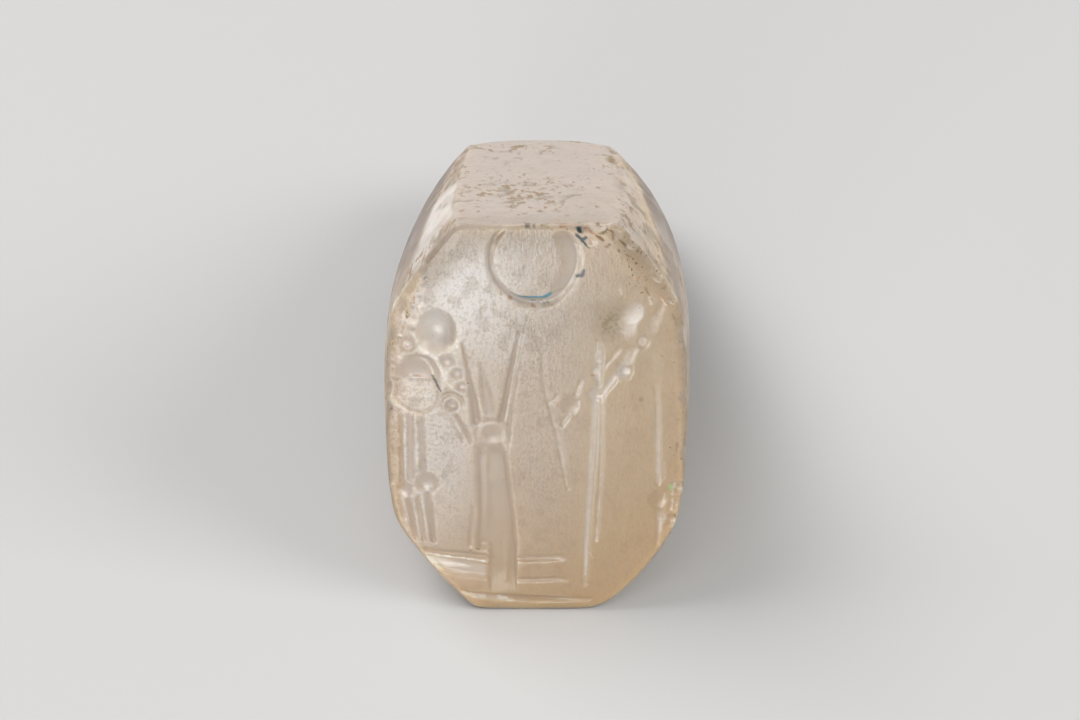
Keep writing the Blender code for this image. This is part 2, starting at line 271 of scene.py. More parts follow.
def standard(x, h):
    """Standard in the middle: two arms in a V, a ringed disc and a broad robed post on a foot."""
    robe_left = ((-7.3, -3.14), (-6.4, -3.2), (-5.0, -3.1), (-0.6, -3.22))
    robe_right = ((-7.3, -0.86), (-5.0, -1.04), (-3.7, -1.18), (-2.2, -1.33), (-0.6, -1.55))
    robe = band(x, h, 0.17, robe_left, robe_right, (0.42, 0.28), (0.5, 1.2))
    foot_left, foot_right = ((-10.0, -2.5), (-6.0, -2.45)), ((-10.0, -0.95), (-6.0, -0.92))
    foot = band(x, h, 0.18, foot_left, foot_right, (0.2, 0.14), (1.8, 0.8))
    folds = 0.05 * np.exp(-((x + 2.52) / 0.13) ** 2) * fade(-6.9, -5.2, h)
    folds = folds + 0.03 * np.exp(-((x + 1.5) / 0.1) ** 2) * fade(-6.0, -7.6, h)
    cuts = [
        stroke(x, h, 0.17, (-3.7, 4.55, 0.05), (-3.38, 2.8, 0.2), (-3.12, 1.4, 0.26),
               (-2.98, 0.2, 0.32)),
        stroke(x, h, 0.06, (-2.75, 3.4, 0.1), (-2.35, 0.6, 0.45)),
        stroke(x, h, 0.17, (-0.92, 5.1, 0.05), (-1.25, 3.2, 0.13), (-1.55, 1.5, 0.18),
               (-1.75, 0.3, 0.22)),
        stroke(x, h, 0.08, (-0.62, 5.2, 0.06), (-0.98, 3.0, 0.11), (-1.35, 0.3, 0.13),
               (-1.38, -0.4, 0.1)),
        ring(x, h, 0.07, (-2.17, -0.55), 0.76, 0.24, -60, 240),
        dish(x, h, 0.08, (-2.17, -0.55), (0.95, 0.93)),
        dish(x, h, 0.1, (-2.2, -0.62), (0.58, 0.56)),
        stroke(x, h, 0.08, (-1.38, -0.4, 0.1), (-1.38, -1.0, 0.1), (-1.52, -1.45, 0.07)),
        np.maximum(robe, foot) - folds * (robe + foot > 0.1),
        stroke(x, h, 0.05, (-3.12, -4.6, 0.16), (-3.3, -6.9, 0.13)),
    ]
    return np.maximum.reduce(cuts)


def plant(x, h):
    """Plant between the standard and the staff: a long stem, a drilled bud and short leaves."""
    cuts = [
        stroke(x, h, 0.035, (0.28, 4.0, 0.1), (0.34, 2.5, 0.16), (0.6, 1.1, 0.18)),
        stroke(x, h, 0.07, (0.55, 1.3, 0.1), (1.0, -0.3, 0.17), (1.3, -2.0, 0.15), (1.56, -3.6, 0.09)),
        hollow(x, h, 0.07, (1.62, 1.1), (0.5, 0.52)),
        stroke(x, h, 0.09, (0.6, 1.25, 0.08), (0.85, 1.36, 0.1), (1.05, 1.68, 0.08)),
        stroke(x, h, 0.07, (1.92, 1.65, 0.08), (2.2, 2.5, 0.07)),
        stroke(x, h, 0.1, (1.24, 0.0, 0.08), (1.5, 0.5, 0.14)),
    ]
    return np.maximum.reduce(cuts)


def staff(x, h):
    """Beaded staff of two wheel cuts side by side, with a branch that climbs to the right."""
    cuts = [
        stroke(x, h, 0.12, (2.9, 1.2, 0.17), (2.76, -2.0, 0.18), (2.6, -4.0, 0.17), (2.47, -6.3, 0.17),
               (2.38, -9.1, 0.19)) * (0.35 + 0.65 * fade(-9.2, -6.6, h)),
        stroke(x, h, 0.08, (3.2, 1.2, 0.07), (3.18, -2.8, 0.08), (2.95, -6.6, 0.07)),
        hollow(x, h, 0.13, (2.88, 1.66), (0.44, 0.43)),
        hollow(x, h, 0.13, (2.98, 2.85), (0.27, 0.5)),
        stroke(x, h, 0.15, (3.0, 4.58, 0.09), (3.08, 4.1, 0.2), (3.06, 3.4, 0.21)),
        stroke(x, h, 0.1, (3.06, 3.4, 0.18), (3.05, 2.2, 0.15)),
        stroke(x, h, 0.045, (3.25, 3.1, 0.05), (3.7, 3.65, 0.07), (4.05, 4.1, 0.13)),
        stroke(x, h, 0.1, (3.2, 1.25, 0.06), (3.28, 1.7, 0.1), (3.5, 2.05, 0.17)),
        stroke(x, h, 0.11, (3.45, 2.0, 0.18), (3.85, 2.6, 0.22)),
        hollow(x, h, 0.18, (4.32, 2.92), (0.45, 0.52)),
        stroke(x, h, 0.06, (4.48, 3.45, 0.32), (4.78, 4.1, 0.24)),
        hollow(x, h, 0.17, (5.2, 4.48), (0.32, 0.41)),
        stroke(x, h, 0.03, (5.66, 5.15, 0.28), (5.85, 5.85, 0.27), (6.15, 6.5, 0.15)),
    ]
    return np.maximum.reduce(cuts)


def right_figure(x, h):
    """Figure at the right edge: a broad head that ends steeply at its right, a smooth body and a leg."""
    edge = np.interp(h, *zip(*HEAD_EDGE))
    cuts = [
        0.15 * fade(2.7, 4.5, x) * np.clip((edge - x) / 1.1, 0, 1) * fade(4.35, 5.2, h) * fade(7.1, 6.1, h),
        dish(x, h, 0.04, (5.35, 2.6), (0.85, 2.6)),
        stroke(x, h, 0.09, (5.86, 2.0, 0.06), (5.95, 0.5, 0.13), (5.97, -1.5, 0.16), (5.97, -3.4, 0.14)),
        stroke(x, h, 0.05, (6.22, -2.2, 0.06), (6.25, -3.2, 0.07)),
        hollow(x, h, 0.08, (5.98, -4.35), (0.47, 0.52)),
        stroke(x, h, 0.07, (6.1, -5.0, 0.18), (5.98, -6.9, 0.14)) * (0.4 + 0.6 * fade(-6.9, -5.4, h)),
    ]
    return np.maximum.reduce(cuts)


def scratched_ground(x, h):
    """Band of long scratches left of the post: share from 0 to 1, and the scratches in it."""
    low = ((-5.9, -8.0), (-4.7, -8.5), (-3.9, -8.72), (-2.0, -9.0))
    high = ((-5.9, -7.4), (-4.0, -7.66), (-2.0, -7.92))
    inside = band(h, x, 1.0, low, high, (0.3, 0.12), (0.3, 0.2))
    scratches = fade(0.35, 0.65, rough(x, (h + 0.16 * (x + 4.0)) * 6.5, 1.3, 40))
    return inside, scratches


def ground_lines(x, h):
    """Ground: a groove over a scratched band left of the post, two faint bands right of it, a low groove."""
    inside, scratches = scratched_ground(x, h)
    low_groove = stroke(x, h, 0.16, (-3.9, -9.46, 0.08), (-3.3, -9.74, 0.18), (-2.2, -9.86, 0.2),
                        (0.0, -9.95, 0.18), (2.6, -10.05, 0.14))
    upper_low, upper_high = ((-1.2, -7.88), (1.7, -7.78)), ((-1.2, -7.36), (1.7, -7.34))
    lower_low, lower_high = ((-1.2, -9.05), (1.8, -8.98)), ((-1.2, -8.67), (1.8, -8.66))
    cuts = [
        inside * (0.13 + 0.06 * scratches),
        stroke(x, h, 0.1, (-6.05, -7.12, 0.08), (-4.6, -7.32, 0.2), (-2.1, -7.55, 0.24)),
        low_groove * (0.2 + 0.8 * fade(2.6, 0.2, x)),
        band(h, x, 0.085, upper_low, upper_high, (0.15, 0.2), (0.1, 1.0)),
        band(h, x, 0.075, lower_low, lower_high, (0.13, 0.17), (0.1, 1.0)),
    ]
    return np.maximum.reduce(cuts)


def engraving(x, h):
    """Depth of all the cuts below the convex face."""
    motifs = (crescent, left_figure, standard, plant, staff, right_figure, ground_lines)
    depth = np.maximum.reduce([motif(x, h) for motif in motifs])
    block = chalky_block(x, h)
    block_depth = 0.16 + 0.1 * rough(x, h, 0.45, 50, octaves=4)
    return np.maximum(depth, block * block_depth)


# ---------------------------------------------------------------- shape of the stone

def between(values, t):
    """Smooth curve through the values at the face (t = 0), half way (t = 0.5) and at the apex (t = 1)."""
    face, middle, apex = values
    return face * (1 - t) * (1 - 2 * t) + middle * 4 * t * (1 - t) + apex * t * (2 * t - 1)


def lean(t):
    """How far the section at depth share t stands to the right of the face."""
    peak = LEAN_DEPTH ** 2 * (1 - LEAN_DEPTH)
    return t * t * (LEAN * (1 - t) / peak + APEX_LEAN)


def crown(x, h):
    """How far the convex face stands out from the plane of its rim."""
    across = np.clip(1 - (x / SIDE_EDGE_HALF[0]) ** 2, 0, 1)
    along = np.clip(1 - (h / UPPER_REACH) ** 2, 0, 1)
    return FACE_CROWN * across * along


def edge_heights(t):
    """Heights of the upper facet, of a side's two edges and of the lower facet at depth share t."""
    top, bottom = UPPER_REACH - FACET_DROP * t, -LOWER_REACH + FACET_DROP * t
    return top, top - between(UPPER_CHAMFER_DROP, t), bottom + between(LOWER_CHAMFER_DROP, t), bottom


def side_reach(t, q):
    """Half width of the stone at depth share t, at share q of the way from the side's middle to its edge."""
    return between(SIDE_EDGE_HALF, t) + between(SIDE_BULGE, t) * (1 - np.abs(q) ** SIDE_BULGE_POWER)


def edge_points(start, end, steps, bulge=0.0):
    """Points from start towards end, raised to the left of the way by the bulge in the middle."""
    s = np.arange(steps) / steps
    run_x, run_h = end[0] - start[0], end[1] - start[1]
    run = np.hypot(run_x, run_h)
    raised = bulge * np.minimum(1, run / FULL_BULGE_RUN) * 4 * s * (1 - s) / run
    return start[0] + run_x * s - run_h * raised, start[1] + run_h * s + run_x * raised


def half_sections(t, hand):
    """Half outlines (x, h) at depth shares t, from the upper facet's middle down towards the lower one's."""
    top, upper_edge, lower_edge, bottom = edge_heights(t)
    side = between(SIDE_EDGE_HALF, t)
    upper_half, lower_half = between(UPPER_FACET_HALF, t), between(LOWER_FACET_HALF, t)
    corner_width, corner_height = LOWER_CORNER[hand]
    worn_corner = (lower_half + corner_width, bottom + corner_height)
    q = 1 - 2 * np.arange(SIDE_STEPS) / SIDE_STEPS
    runs = [
        edge_points((0 * t, top), (upper_half, top), TOP_STEPS),
        edge_points((upper_half, top), (side, upper_edge), CHAMFER_STEPS, UPPER_BULGE),
        (side_reach(t, q), q * np.where(q > 0, upper_edge, -lower_edge)),
        edge_points((side, lower_edge), worn_corner, LOWER_CHAMFER_STEPS, LOWER_BULGE[hand]),
        edge_points(worn_corner, (lower_half, bottom), CORNER_STEPS),
        edge_points((lower_half, bottom), (0 * t, bottom), BOTTOM_STEPS),
        (0 * bottom, bottom),
    ]
    x = np.hstack([run[0] + 0 * t for run in runs])
    h = np.hstack([run[1] + 0 * t for run in runs])
    return np.stack([x, h], axis=-1)


def sections(t):
    """Outlines (x, h) at depth shares t: one row each, clockwise from the upper facet's middle."""
    t = np.asarray(t, float)[:, None]
    left = half_sections(t, "left")[:, -2:0:-1] * (-1, 1)
    loops = np.concatenate([half_sections(t, "right"), left], axis=1)
    worn = smoothed(loops, EDGE_WEAR)
    softer = smoothed(loops, SOFT_EDGE_WEAR)
    place = np.arange(loops.shape[1])
    soft_edge = np.exp(-((place - TOP_STEPS) / 7) ** 2)[None, :, None] * fade(0.0, 0.25, t)[..., None]
    worn = worn + (softer - worn) * soft_edge
    return worn + np.stack([lean(t), 0 * t], axis=-1)


def averaged(values, axis):
    """Values smoothed once along an axis that closes on itself."""
    return (np.roll(values, 1, axis) + 2 * values + np.roll(values, -1, axis)) / 4


def smoothed(loops, passes):
    """Round the corners of closed loops by smoothing along them."""
    for _ in range(passes):
        loops = averaged(loops, 1)
    return loops


def with_depth(outline, d):
    """Add a depth to the points of an outline."""
    return np.concatenate([outline, np.full(outline.shape[:-1] + (1,), float(d))], axis=-1)


def travelled(chain, axis):
    """How far each point of a chain has come along one axis."""
    return np.concatenate([[0], np.cumsum(np.abs(np.diff(chain[:, axis])) + 1e-6)])


def resampled(chain, steps, axis):
    """Points along a chain at even steps of its travel along one axis."""
    travel = travelled(chain, axis)
    even = np.linspace(0, travel[-1], steps + 1)
    return np.stack([np.interp(even, travel, chain[:, k]) for k in range(chain.shape[1])], axis=-1)


def filled(top, right, bottom, left):
    """Grid of points between four edges. Its rows run down and its columns run right."""
    u = np.linspace(0, 1, len(top))[None, :, None]
    v = np.linspace(0, 1, len(left))[:, None, None]
    across = (1 - v) * top[None] + v * bottom[None]
    down = (1 - u) * left[:, None] + u * right[:, None]
    corners = (1 - v) * ((1 - u) * top[0] + u * top[-1]) + v * ((1 - u) * bottom[0] + u * bottom[-1])
    return across + down - corners


def four_sides(count):
    """Indices of a section's top, right, bottom and left, parted at the ends of its two level facets."""
    upper, lower = TOP_STEPS, count // 2 - BOTTOM_STEPS
    index = np.arange(count)
    top = np.concatenate([index[-upper:], index[:upper + 1]])
    right = index[upper:lower + 1]
    bottom = index[lower:count - lower + 1]
    left = index[count - lower:count - upper + 1]
    return top, right, bottom, left


def zip_chains(near, far, near_first):
    """Triangles between two chains of vertices. near_first(i, j) tells whether to step along the near one."""
    faces, i, j = [], 0, 0
    while i < len(near) - 1 or j < len(far) - 1:
        if j == len(far) - 1 or (i < len(near) - 1 and near_first(i, j)):
            faces.append((near[i], near[i + 1], far[j]))
            i += 1
        else:
            faces.append((near[i], far[j + 1], far[j]))
            j += 1
    return faces


def share_along(chain, axis):
    """Share of the way along a chain that each of its points is at, by its travel along one axis."""
    travel = travelled(chain, axis)
    return travel / travel[-1]


def grid_quads(rows, columns, first, closed=False):
    """Quads between the vertices of a grid that is stored row by row."""
    i, j = np.meshgrid(np.arange(rows - 1), np.arange(columns if closed else columns - 1), indexing="ij")
    a, b = first + i * columns + j, first + i * columns + (j + 1) % columns
    return np.stack([a, b, b + columns, a + columns], axis=-1).reshape(-1, 4)


def face_grid():
    """Grid of points (x, h, d) over the convex face, inside its rounded rim."""
    rim = sections([0.0])[0] * RIM_INSET
    steps = (FACE_COLUMNS, FACE_ROWS, FACE_COLUMNS, FACE_ROWS)
    sides = zip(four_sides(len(rim)), steps, (0, 1, 0, 1))
    edges = [resampled(rim[side], count, axis) for side, count, axis in sides]
    flat = filled(edges[0], edges[1], edges[2][::-1], edges[3][::-1])
    return np.concatenate([flat, -crown(flat[..., :1], flat[..., 1:])], axis=-1)


def side_rings():
    """Rings of points (x, h, d) over the rim, along the facets and over the rounded apex."""
    rim, full = sections([0.0, RIM_ROUND / DEPTH])
    rings = []
    for turn in np.radians(RIM_TURNS):
        outline = rim * RIM_INSET + (full - rim * RIM_INSET) * math.sin(turn)
        rings.append(with_depth(outline, RIM_ROUND * (1 - math.cos(turn))))
    shares = np.linspace(RIM_ROUND / DEPTH, 1.0, DEPTH_RINGS + 1)[1:]
    rings += [with_depth(outline, share * DEPTH) for share, outline in zip(shares, sections(shares))]
    end = rings[-1][:, :2]
    for scale in APEX_SCALES:
        rings.append(with_depth(APEX + (end - APEX) * scale, DEPTH + APEX_CROWN * math.sqrt(1 - scale ** 2)))
    return np.array(rings)


def side_share(h, t):
    """Share of the way from a side's middle to its upper or lower edge, at height h and depth share t."""
    _, upper_edge, lower_edge, _ = edge_heights(t)
    return np.where(h > 0, h / upper_edge, -h / lower_edge)


def side_place(h, t):
    """Place along the outline, counted from the upper facet's middle, of a point on a side."""
    return TOP_STEPS + CHAMFER_STEPS + (1 - side_share(h, t)) * SIDE_STEPS / 2


def hole_lip(hand):
    """Rings of points (x, h, d) from the side's surface over the worn lip into the string hole."""
    sign = 1 if hand == "right" else -1
    angle = np.linspace(-np.pi, np.pi, HOLE_POINTS, endpoint=False)
    rings = []
    for radius, sink in HOLE_LIP:
        h, d = radius * np.sin(angle), HOLE_DEPTH + radius * np.cos(angle)
        t = d / DEPTH
        x = sign * (side_reach(t, side_share(h, t)) - sink) + lean(t)
        rings.append(np.stack([x, h, d], axis=-1))
    return np.array(rings)


def stone_mesh():
    """Vertices (x, h, d) and faces, and each vertex's part of the mesh and place along its loop."""
    face, rings = face_grid(), side_rings()
    rows, columns = face.shape[:2]
    count = rings.shape[1]
    first = rows * columns
    tip = first + rings.shape[0] * count
    flat = face.reshape(-1, 3)
    faces = grid_quads(rows, columns, 0).tolist()

    index = np.arange(rows * columns).reshape(rows, columns)
    borders = (index[0], index[:, -1], index[-1, ::-1], index[::-1, 0])
    for border, side, axis in zip(borders, four_sides(count), (0, 1, 0, 1)):
        near, far = share_along(flat[border], axis), share_along(rings[0][side], axis)
        faces += zip_chains(border.tolist(), (first + side).tolist(), lambda i, j: near[i + 1] <= far[j + 1])

    vertices = np.concatenate([flat, rings.reshape(-1, 3), [[*APEX, DEPTH + APEX_CROWN]]])
    quads = grid_quads(len(rings), count, first, closed=True)
    middles = vertices[quads].mean(axis=1)
    opened = np.hypot(middles[:, 2] - HOLE_DEPTH, middles[:, 1]) < HOLE_PATCH
    faces += quads[~opened].tolist()
    faces += [(tip - count + k, tip - count + (k + 1) % count, tip) for k in range(count)]

    right, left = hole_lip("right"), hole_lip("left")
    steps = np.linspace(0, 1, HOLE_RINGS + 1)[1:-1, None, None]
    tunnel = np.concatenate([right, right[-1] * (1 - steps) + left[-1] * steps, left[::-1]])
    start = tip + 1
    vertices = np.concatenate([vertices, tunnel.reshape(-1, 3)])
    faces += grid_quads(len(tunnel), HOLE_POINTS, start, closed=True).tolist()
    for side, sign in ((start, 1), (start + (len(tunnel) - 1) * HOLE_POINTS, -1)):
        mouth = opened & (np.sign(middles[:, 0]) == sign)
        faces += mouth_faces(vertices, quads[mouth], side)
    part = np.full(len(vertices), SIDE)
    part[:first] = FACE
    part[start:] = HOLE
    place = np.zeros(len(vertices))
    place[first:tip] = np.tile((np.arange(count) + count // 2) % count - count // 2, len(rings))
    x, h, d = vertices[start:].T
    place[start:] = np.sign(x) * side_place(h, d / DEPTH)
    return vertices, faces, part, place


def border_loop(quads):
    """Vertices round the border of a patch of quads, in their order."""
    edges = np.concatenate([quads[:, [k, (k + 1) % 4]] for k in range(4)])
    ways = set(map(tuple, edges.tolist()))
    onward = {a: b for a, b in ways if (b, a) not in ways}
    loop = [min(onward)]
    while len(loop) < len(onward):
        loop.append(onward[loop[-1]])
    return np.array(loop)


def mouth_faces(vertices, quads, first):
    """Triangles between the hole left by some quads and the outermost ring of the lip."""
    border = border_loop(quads)
    angle = np.arctan2(vertices[border, 1], vertices[border, 2] - HOLE_DEPTH)
    if np.median((np.diff(angle) + np.pi) % (2 * np.pi) - np.pi) < 0:
        border, angle = border[::-1], angle[::-1]
    near = np.roll(border, -np.argmin(angle))
    near = np.append(near, near[0])
    far = first + np.arange(HOLE_POINTS + 1) % HOLE_POINTS
    outer, inner = vertices[near], vertices[far]
    return zip_chains(near.tolist(), far.tolist(),
                      lambda i, j: math.dist(outer[i + 1], inner[j]) < math.dist(outer[i], inner[j + 1]))


# ---------------------------------------------------------------- wear

PIT_DEPTH = 0.05

# Chips at the rim and on the facets: where, the way out of the stone there, depth and radius of the dent
CHIPS = (
    ((2.62, 10.8, 0.05), (0, 1.0, -0.55), 0.3, 2.6),
    ((2.05, 10.86, 0.0), (0, 1.0, -0.9), 0.14, 1.4),
    ((3.15, 10.8, 0.0), (0.2, 1.0, -1.1), 0.12, 1.2),
    ((3.72, 10.25, -0.02), (0.5, 0.7, -1.4), 0.09, 0.9),
    ((2.7, 9.85, -0.12), (0.1, 0.3, -1.0), 0.06, 0.7),
    ((4.45, 9.75, 0.0), (0.8, 0.6, -1.0), 0.08, 0.9),
    ((5.75, 7.95, 0.0), (0.8, 0.6, -1.0), 0.07, 1.0),
    ((6.55, 6.7, 0.0), (0.8, 0.6, -1.0), 0.1, 0.8),
    ((6.62, -3.75, -0.05), (0.7, 0, -1.0), 0.1, 0.7),
    ((6.58, -4.62, -0.04), (0.7, -0.2, -1.0), 0.05, 0.6),
    ((6.3, -5.35, -0.03), (0.7, -0.4, -1.0), 0.03, 0.7),
    ((7.15, -1.9, 0.05), (1.0, 0, -0.8), 0.06, 1.0),
    ((7.1, 1.3, 0.05), (1.0, 0, -0.8), 0.06, 0.8),
    ((7.0, 4.6, 0.05), (1.0, 0.1, -0.8), 0.07, 1.2),
    ((-5.55, 8.3, 0.0), (-0.8, 0.6, -1.0), 0.08, 1.1),
    ((-6.2, 7.3, 0.0), (-0.8, 0.6, -1.0), 0.1, 1.0),
    ((-6.62, 6.25, 0.0), (-0.8, 0.5, -1.0), 0.11, 0.9),
    ((-6.98, 4.75, 0.02), (-1.0, 0, -0.8), 0.07, 1.2),
    ((-7.15, 1.9, 0.05), (-1.0, 0, -0.8), 0.08, 1.0),
    ((-7.18, 0.7, 0.05), (-1.0, 0, -0.8), 0.09, 0.7),
    ((-3.8, 10.85, 0.0), (-0.6, 1.0, -0.9), 0.1, 0.8),
    ((3.95, 4.7, 19.6), (0.75, 1.0, 0), 0.22, 3.2),
    ((5.5, 5.42, 13.6), (1.0, 0.6, 0), 0.09, 1.1),
    ((5.62, 5.7, 12.4), (1.0, 0.6, 0), 0.07, 0.9),
    ((-4.05, 6.55, 13.4), (-0.6, 1.0, 0), 0.07, 1.0),
)


def bite(points, centre, outward, depth, radius):
    """Break a shell-shaped chip out of the stone. Returns how far inside the chip each point is, 0 to 1."""
    way = np.array(outward, float) / np.linalg.norm(outward)
    gap = points - (np.array(centre) + way * (radius - depth))
    reach = np.linalg.norm(gap, axis=1)
    inside = reach < radius
    points[inside] += gap[inside] / reach[inside, None] * (radius - reach[inside])[:, None]
    return fade(0.0, 0.3 * depth, radius - reach)


KNOCKS = 110                            # small ones all along the rim of the face
KNOCK_SEED = 7
RIM_SHIFT = 0.36                        # how far the rim moves, as a share of the worn band's half width
RIM_WAY = (0.8, 0.7)                    # how much of that is outwards and how much towards the apex
RIM_CHUNKS = 20                         # the face's points are measured from the rim in so many parts

# Half width of the worn, rounded band along the rim of the face, by place along the outline
RIM_PLACES = (-96, -88, -78, -60, -45, -34, -26, -10, 10, 22, 32, 45, 60, 75, 88, 96)
RIM_BANDS = (0.12, 0.28, 0.42, 0.55, 0.65, 0.6, 0.3, 0.16, 0.18, 0.5, 0.8, 0.95, 0.6, 0.35, 0.2, 0.12)


def soften_rim(points, part, place):
    """Turn the rim of the face back, most at the upper corners, so that it looks round. It flares a little.

    Returns how far each point is from the rim, and its share from 0 to 1 in the worn band.
    """
    rim = sections([0.0])[0]
    ways = np.roll(rim, -1, axis=0) - np.roll(rim, 1, axis=0)
    ways = np.stack([-ways[:, 1], ways[:, 0]], axis=-1) / np.linalg.norm(ways, axis=1)[:, None]
    index = np.round(place).astype(int) % len(rim)
    gap = np.where(part == SIDE, points[:, 2], np.inf)
    face = np.flatnonzero(part == FACE)
    for chunk in np.array_split(face, RIM_CHUNKS):
        reach = np.linalg.norm(points[chunk, None, :2] - rim[None], axis=2)
        index[chunk] = reach.argmin(axis=1)
        gap[chunk] = reach.min(axis=1)
    signed = np.where(index > len(rim) // 2, index - len(rim), index)
    band = np.interp(signed, RIM_PLACES, RIM_BANDS)
    near_rim = np.clip(1 - gap / band, 0, 1)
    push = RIM_SHIFT * band * near_rim ** 2
    points[:, :2] += ways[index] * RIM_WAY[0] * push[:, None]
    points[:, 2] += RIM_WAY[1] * push
    return gap, near_rim


def wear_far_edge(points, part):
    """Wear down the far edge of the upper facet, most at its corners."""
    x, h, d = points.T
    corner = np.abs((x - APEX_LEAN) / UPPER_FACET_HALF[2])
    drop = fade(22.3, 25.3, d) ** 2 * (0.14 + 0.3 * np.minimum(corner, 1.2) ** 3) * fade(0.0, 2.6, h)
    points[:, 1] -= np.where(part == SIDE, drop, 0.0)


def knock_rim(points):
    """Small knocks all along the rim of the face."""
    rng = np.random.default_rng(KNOCK_SEED)
    rim = sections([0.0])[0]
    for _ in range(KNOCKS):
        x, h = rim[rng.integers(len(rim))]
        outward = (x / 5, h / 8, -1.2 + 0.6 * rng.random())
        bite(points, (x, h, 0.02), outward, rng.uniform(0.02, 0.075), rng.uniform(0.3, 1.1))


def border_cells(rows, columns):
    """How many cells each point of the face's grid is from the rim."""
    i, j = np.meshgrid(np.arange(rows), np.arange(columns), indexing="ij")
    return np.minimum.reduce([i, rows - 1 - i, j, columns - 1 - j]).ravel()


def worn_cuts(grid):
    """Soften the edges of the cuts."""
    for _ in range(CUT_WEAR):
        for axis in (0, 1):
            grid = averaged(grid, axis)
    return grid


def carve(points, part):
    """Sink the engraving into the convex face, a little unsteady as cut by hand.

    Returns where the face is cut, from 0 to 1, and how sharply it is bent: above 0 on edges that stand out
    and below 0 in corners.
    """
    face = part == FACE
    x, h = points[face, 0], points[face, 1]
    unsteady_x = x + UNSTEADY * (rough(x, h, 0.9, 20) - 0.5)
    unsteady_h = h + UNSTEADY * (rough(x, h, 0.9, 30) - 0.5)
    depth = engraving(unsteady_x, unsteady_h)
    depth = depth * (1 + 0.1 * (rough(x, h, 0.5, 35) - 0.5))
    cells = (FACE_ROWS + 1, FACE_COLUMNS + 1)
    inside = fade(-0.5, RIM_FADE, border_cells(*cells))
    polish = 0.035 * (rough(x, h, 2.4, 60) - 0.5) + 0.012 * (rough(x, h * 0.5, 0.35, 64) - 0.5)
    grid = worn_cuts((depth * inside).reshape(cells))
    points[face, 2] += grid.ravel() + polish * inside
    around = grid[2:, 1:-1] + grid[:-2, 1:-1] + grid[1:-1, 2:] + grid[1:-1, :-2]
    bend = np.zeros_like(grid)
    bend[1:-1, 1:-1] = around / 4 - grid[1:-1, 1:-1]
    cut, edge = np.zeros(len(points)), np.zeros(len(points))
    cut[face] = fade(0.0, 0.1, grid.ravel())
    edge[face] = bend.ravel()
    return cut, edge


def facets(place):
    """Which places are on the upper facet, and on the chamfers at its left and its right."""
    upper = np.abs(place) <= TOP_STEPS
    chamfer = ~upper & (np.abs(place) < TOP_STEPS + CHAMFER_STEPS)
    return upper, chamfer & (place < 0), chamfer & (place > 0)


def pits(d, around, part, place):
    """Share from 0 to 1 of a pit at each point of the facets."""
    upper, left_chamfer, right_chamfer = facets(place)
    middle, far = spot(around, d, (-1.0, 9.5), (2.8, 5.0)), spot(around, d, (-0.5, 21.5), (3.2, 2.6))
    crowd = np.where(upper, np.maximum(0.1 + 0.9 * middle, 0.75 * far), 0.65)
    ends = np.maximum(fade(4.2, 2.0, d), fade(11.0, 14.0, d))
    crowd = np.where(left_chamfer, np.maximum(ends, 0.8), crowd)
    crowd = np.where(right_chamfer, 0.85, crowd)
    crowd = crowd * fade(0.3, 0.9, d) * fade(DEPTH + 0.1, DEPTH - 0.5, d) * (part == SIDE)
    grain = rough(around, d * 0.55, 0.62, 80, octaves=2)
    level = 0.8 - 0.2 * crowd
    return fade(level, level + 0.1, grain) * fade(0.05, 0.25, crowd)


def arc_length(points, part, place):
    """Distance round the outline from the upper facet's middle, as at a third of the depth; x on the face."""
    outline = sections([1 / 3])[0]
    steps = np.hypot(*(np.roll(outline, -1, axis=0) - outline).T)
    half = len(outline) // 2
    right = np.concatenate([[0], np.cumsum(steps[:half])])
    left = np.concatenate([[0], np.cumsum(steps[::-1][:half])])
    steps_round = np.arange(half + 1)
    hand = np.where(place >= 0, np.interp(place, steps_round, right), -np.interp(-place, steps_round, left))
    return np.where(part == FACE, points[:, 0], hand)


# ---------------------------------------------------------------- colour

# Colours of the stone and of what has got into it, and painted light and shade, as linear values
# Frosted whiteness, also used as painted sheen and highlights where the lamps' glare falls on the face
FROST_AND_SHEEN = (0.65, 0.628, 0.612)
MILK = (0.43, 0.35, 0.275)
BEIGE = (0.43, 0.335, 0.23)
# Warm colour, painted as the glow of light that has come through the thick stone
AMBER = (0.4, 0.275, 0.15)
UPPER_STONE = (0.645, 0.55, 0.478)
SIDE_STONE = (0.52, 0.41, 0.31)
# Painted shade along the rounded rim of the face, which holds down the light the rounding catches
RIM_STONE = (0.225, 0.19, 0.15)
UPPER_SHADE = (0.5, 0.42, 0.35)
SHADE = (0.345, 0.3, 0.238)
CHAMFER_STONE = (0.84, 0.66, 0.455)
MOTTLE = (0.33, 0.235, 0.185)
# Painted highlight on the smooth wedge of the upper left chamfer; also the colour of pale blotches on the
# sides
WEDGE = (0.88, 0.82, 0.765)
# Painted warm glow at the bottom rim of the face
LOW_RIM = (0.38, 0.24, 0.115)
# Painted shade and dark reflection on the upper, far part of the left side
FAR_SIDE = (0.16, 0.125, 0.105)
LAVENDER = (0.23, 0.175, 0.155)
PALE = (0.72, 0.67, 0.6)
OLIVE = (0.23, 0.175, 0.08)
BROWN = (0.26, 0.15, 0.07)
ORANGE = (0.26, 0.105, 0.022)
DARK = (0.045, 0.035, 0.025)
UMBER = (0.135, 0.066, 0.003)
MOSS = (0.11, 0.08, 0.014)
EDGE_SHADE = (0.255, 0.222, 0.196)
TEAL = (0.012, 0.03, 0.032)
BLUE = (0.045, 0.21, 0.3)
PURPLE = (0.016, 0.012, 0.034)
YELLOW = (0.64, 0.52, 0.13)
GREEN = (0.33, 0.48, 0.19)
GREY = (0.33, 0.27, 0.195)
PINK = (0.48, 0.29, 0.23)
GOLD = (0.43, 0.33, 0.19)
RUST = (0.44, 0.265, 0.135)
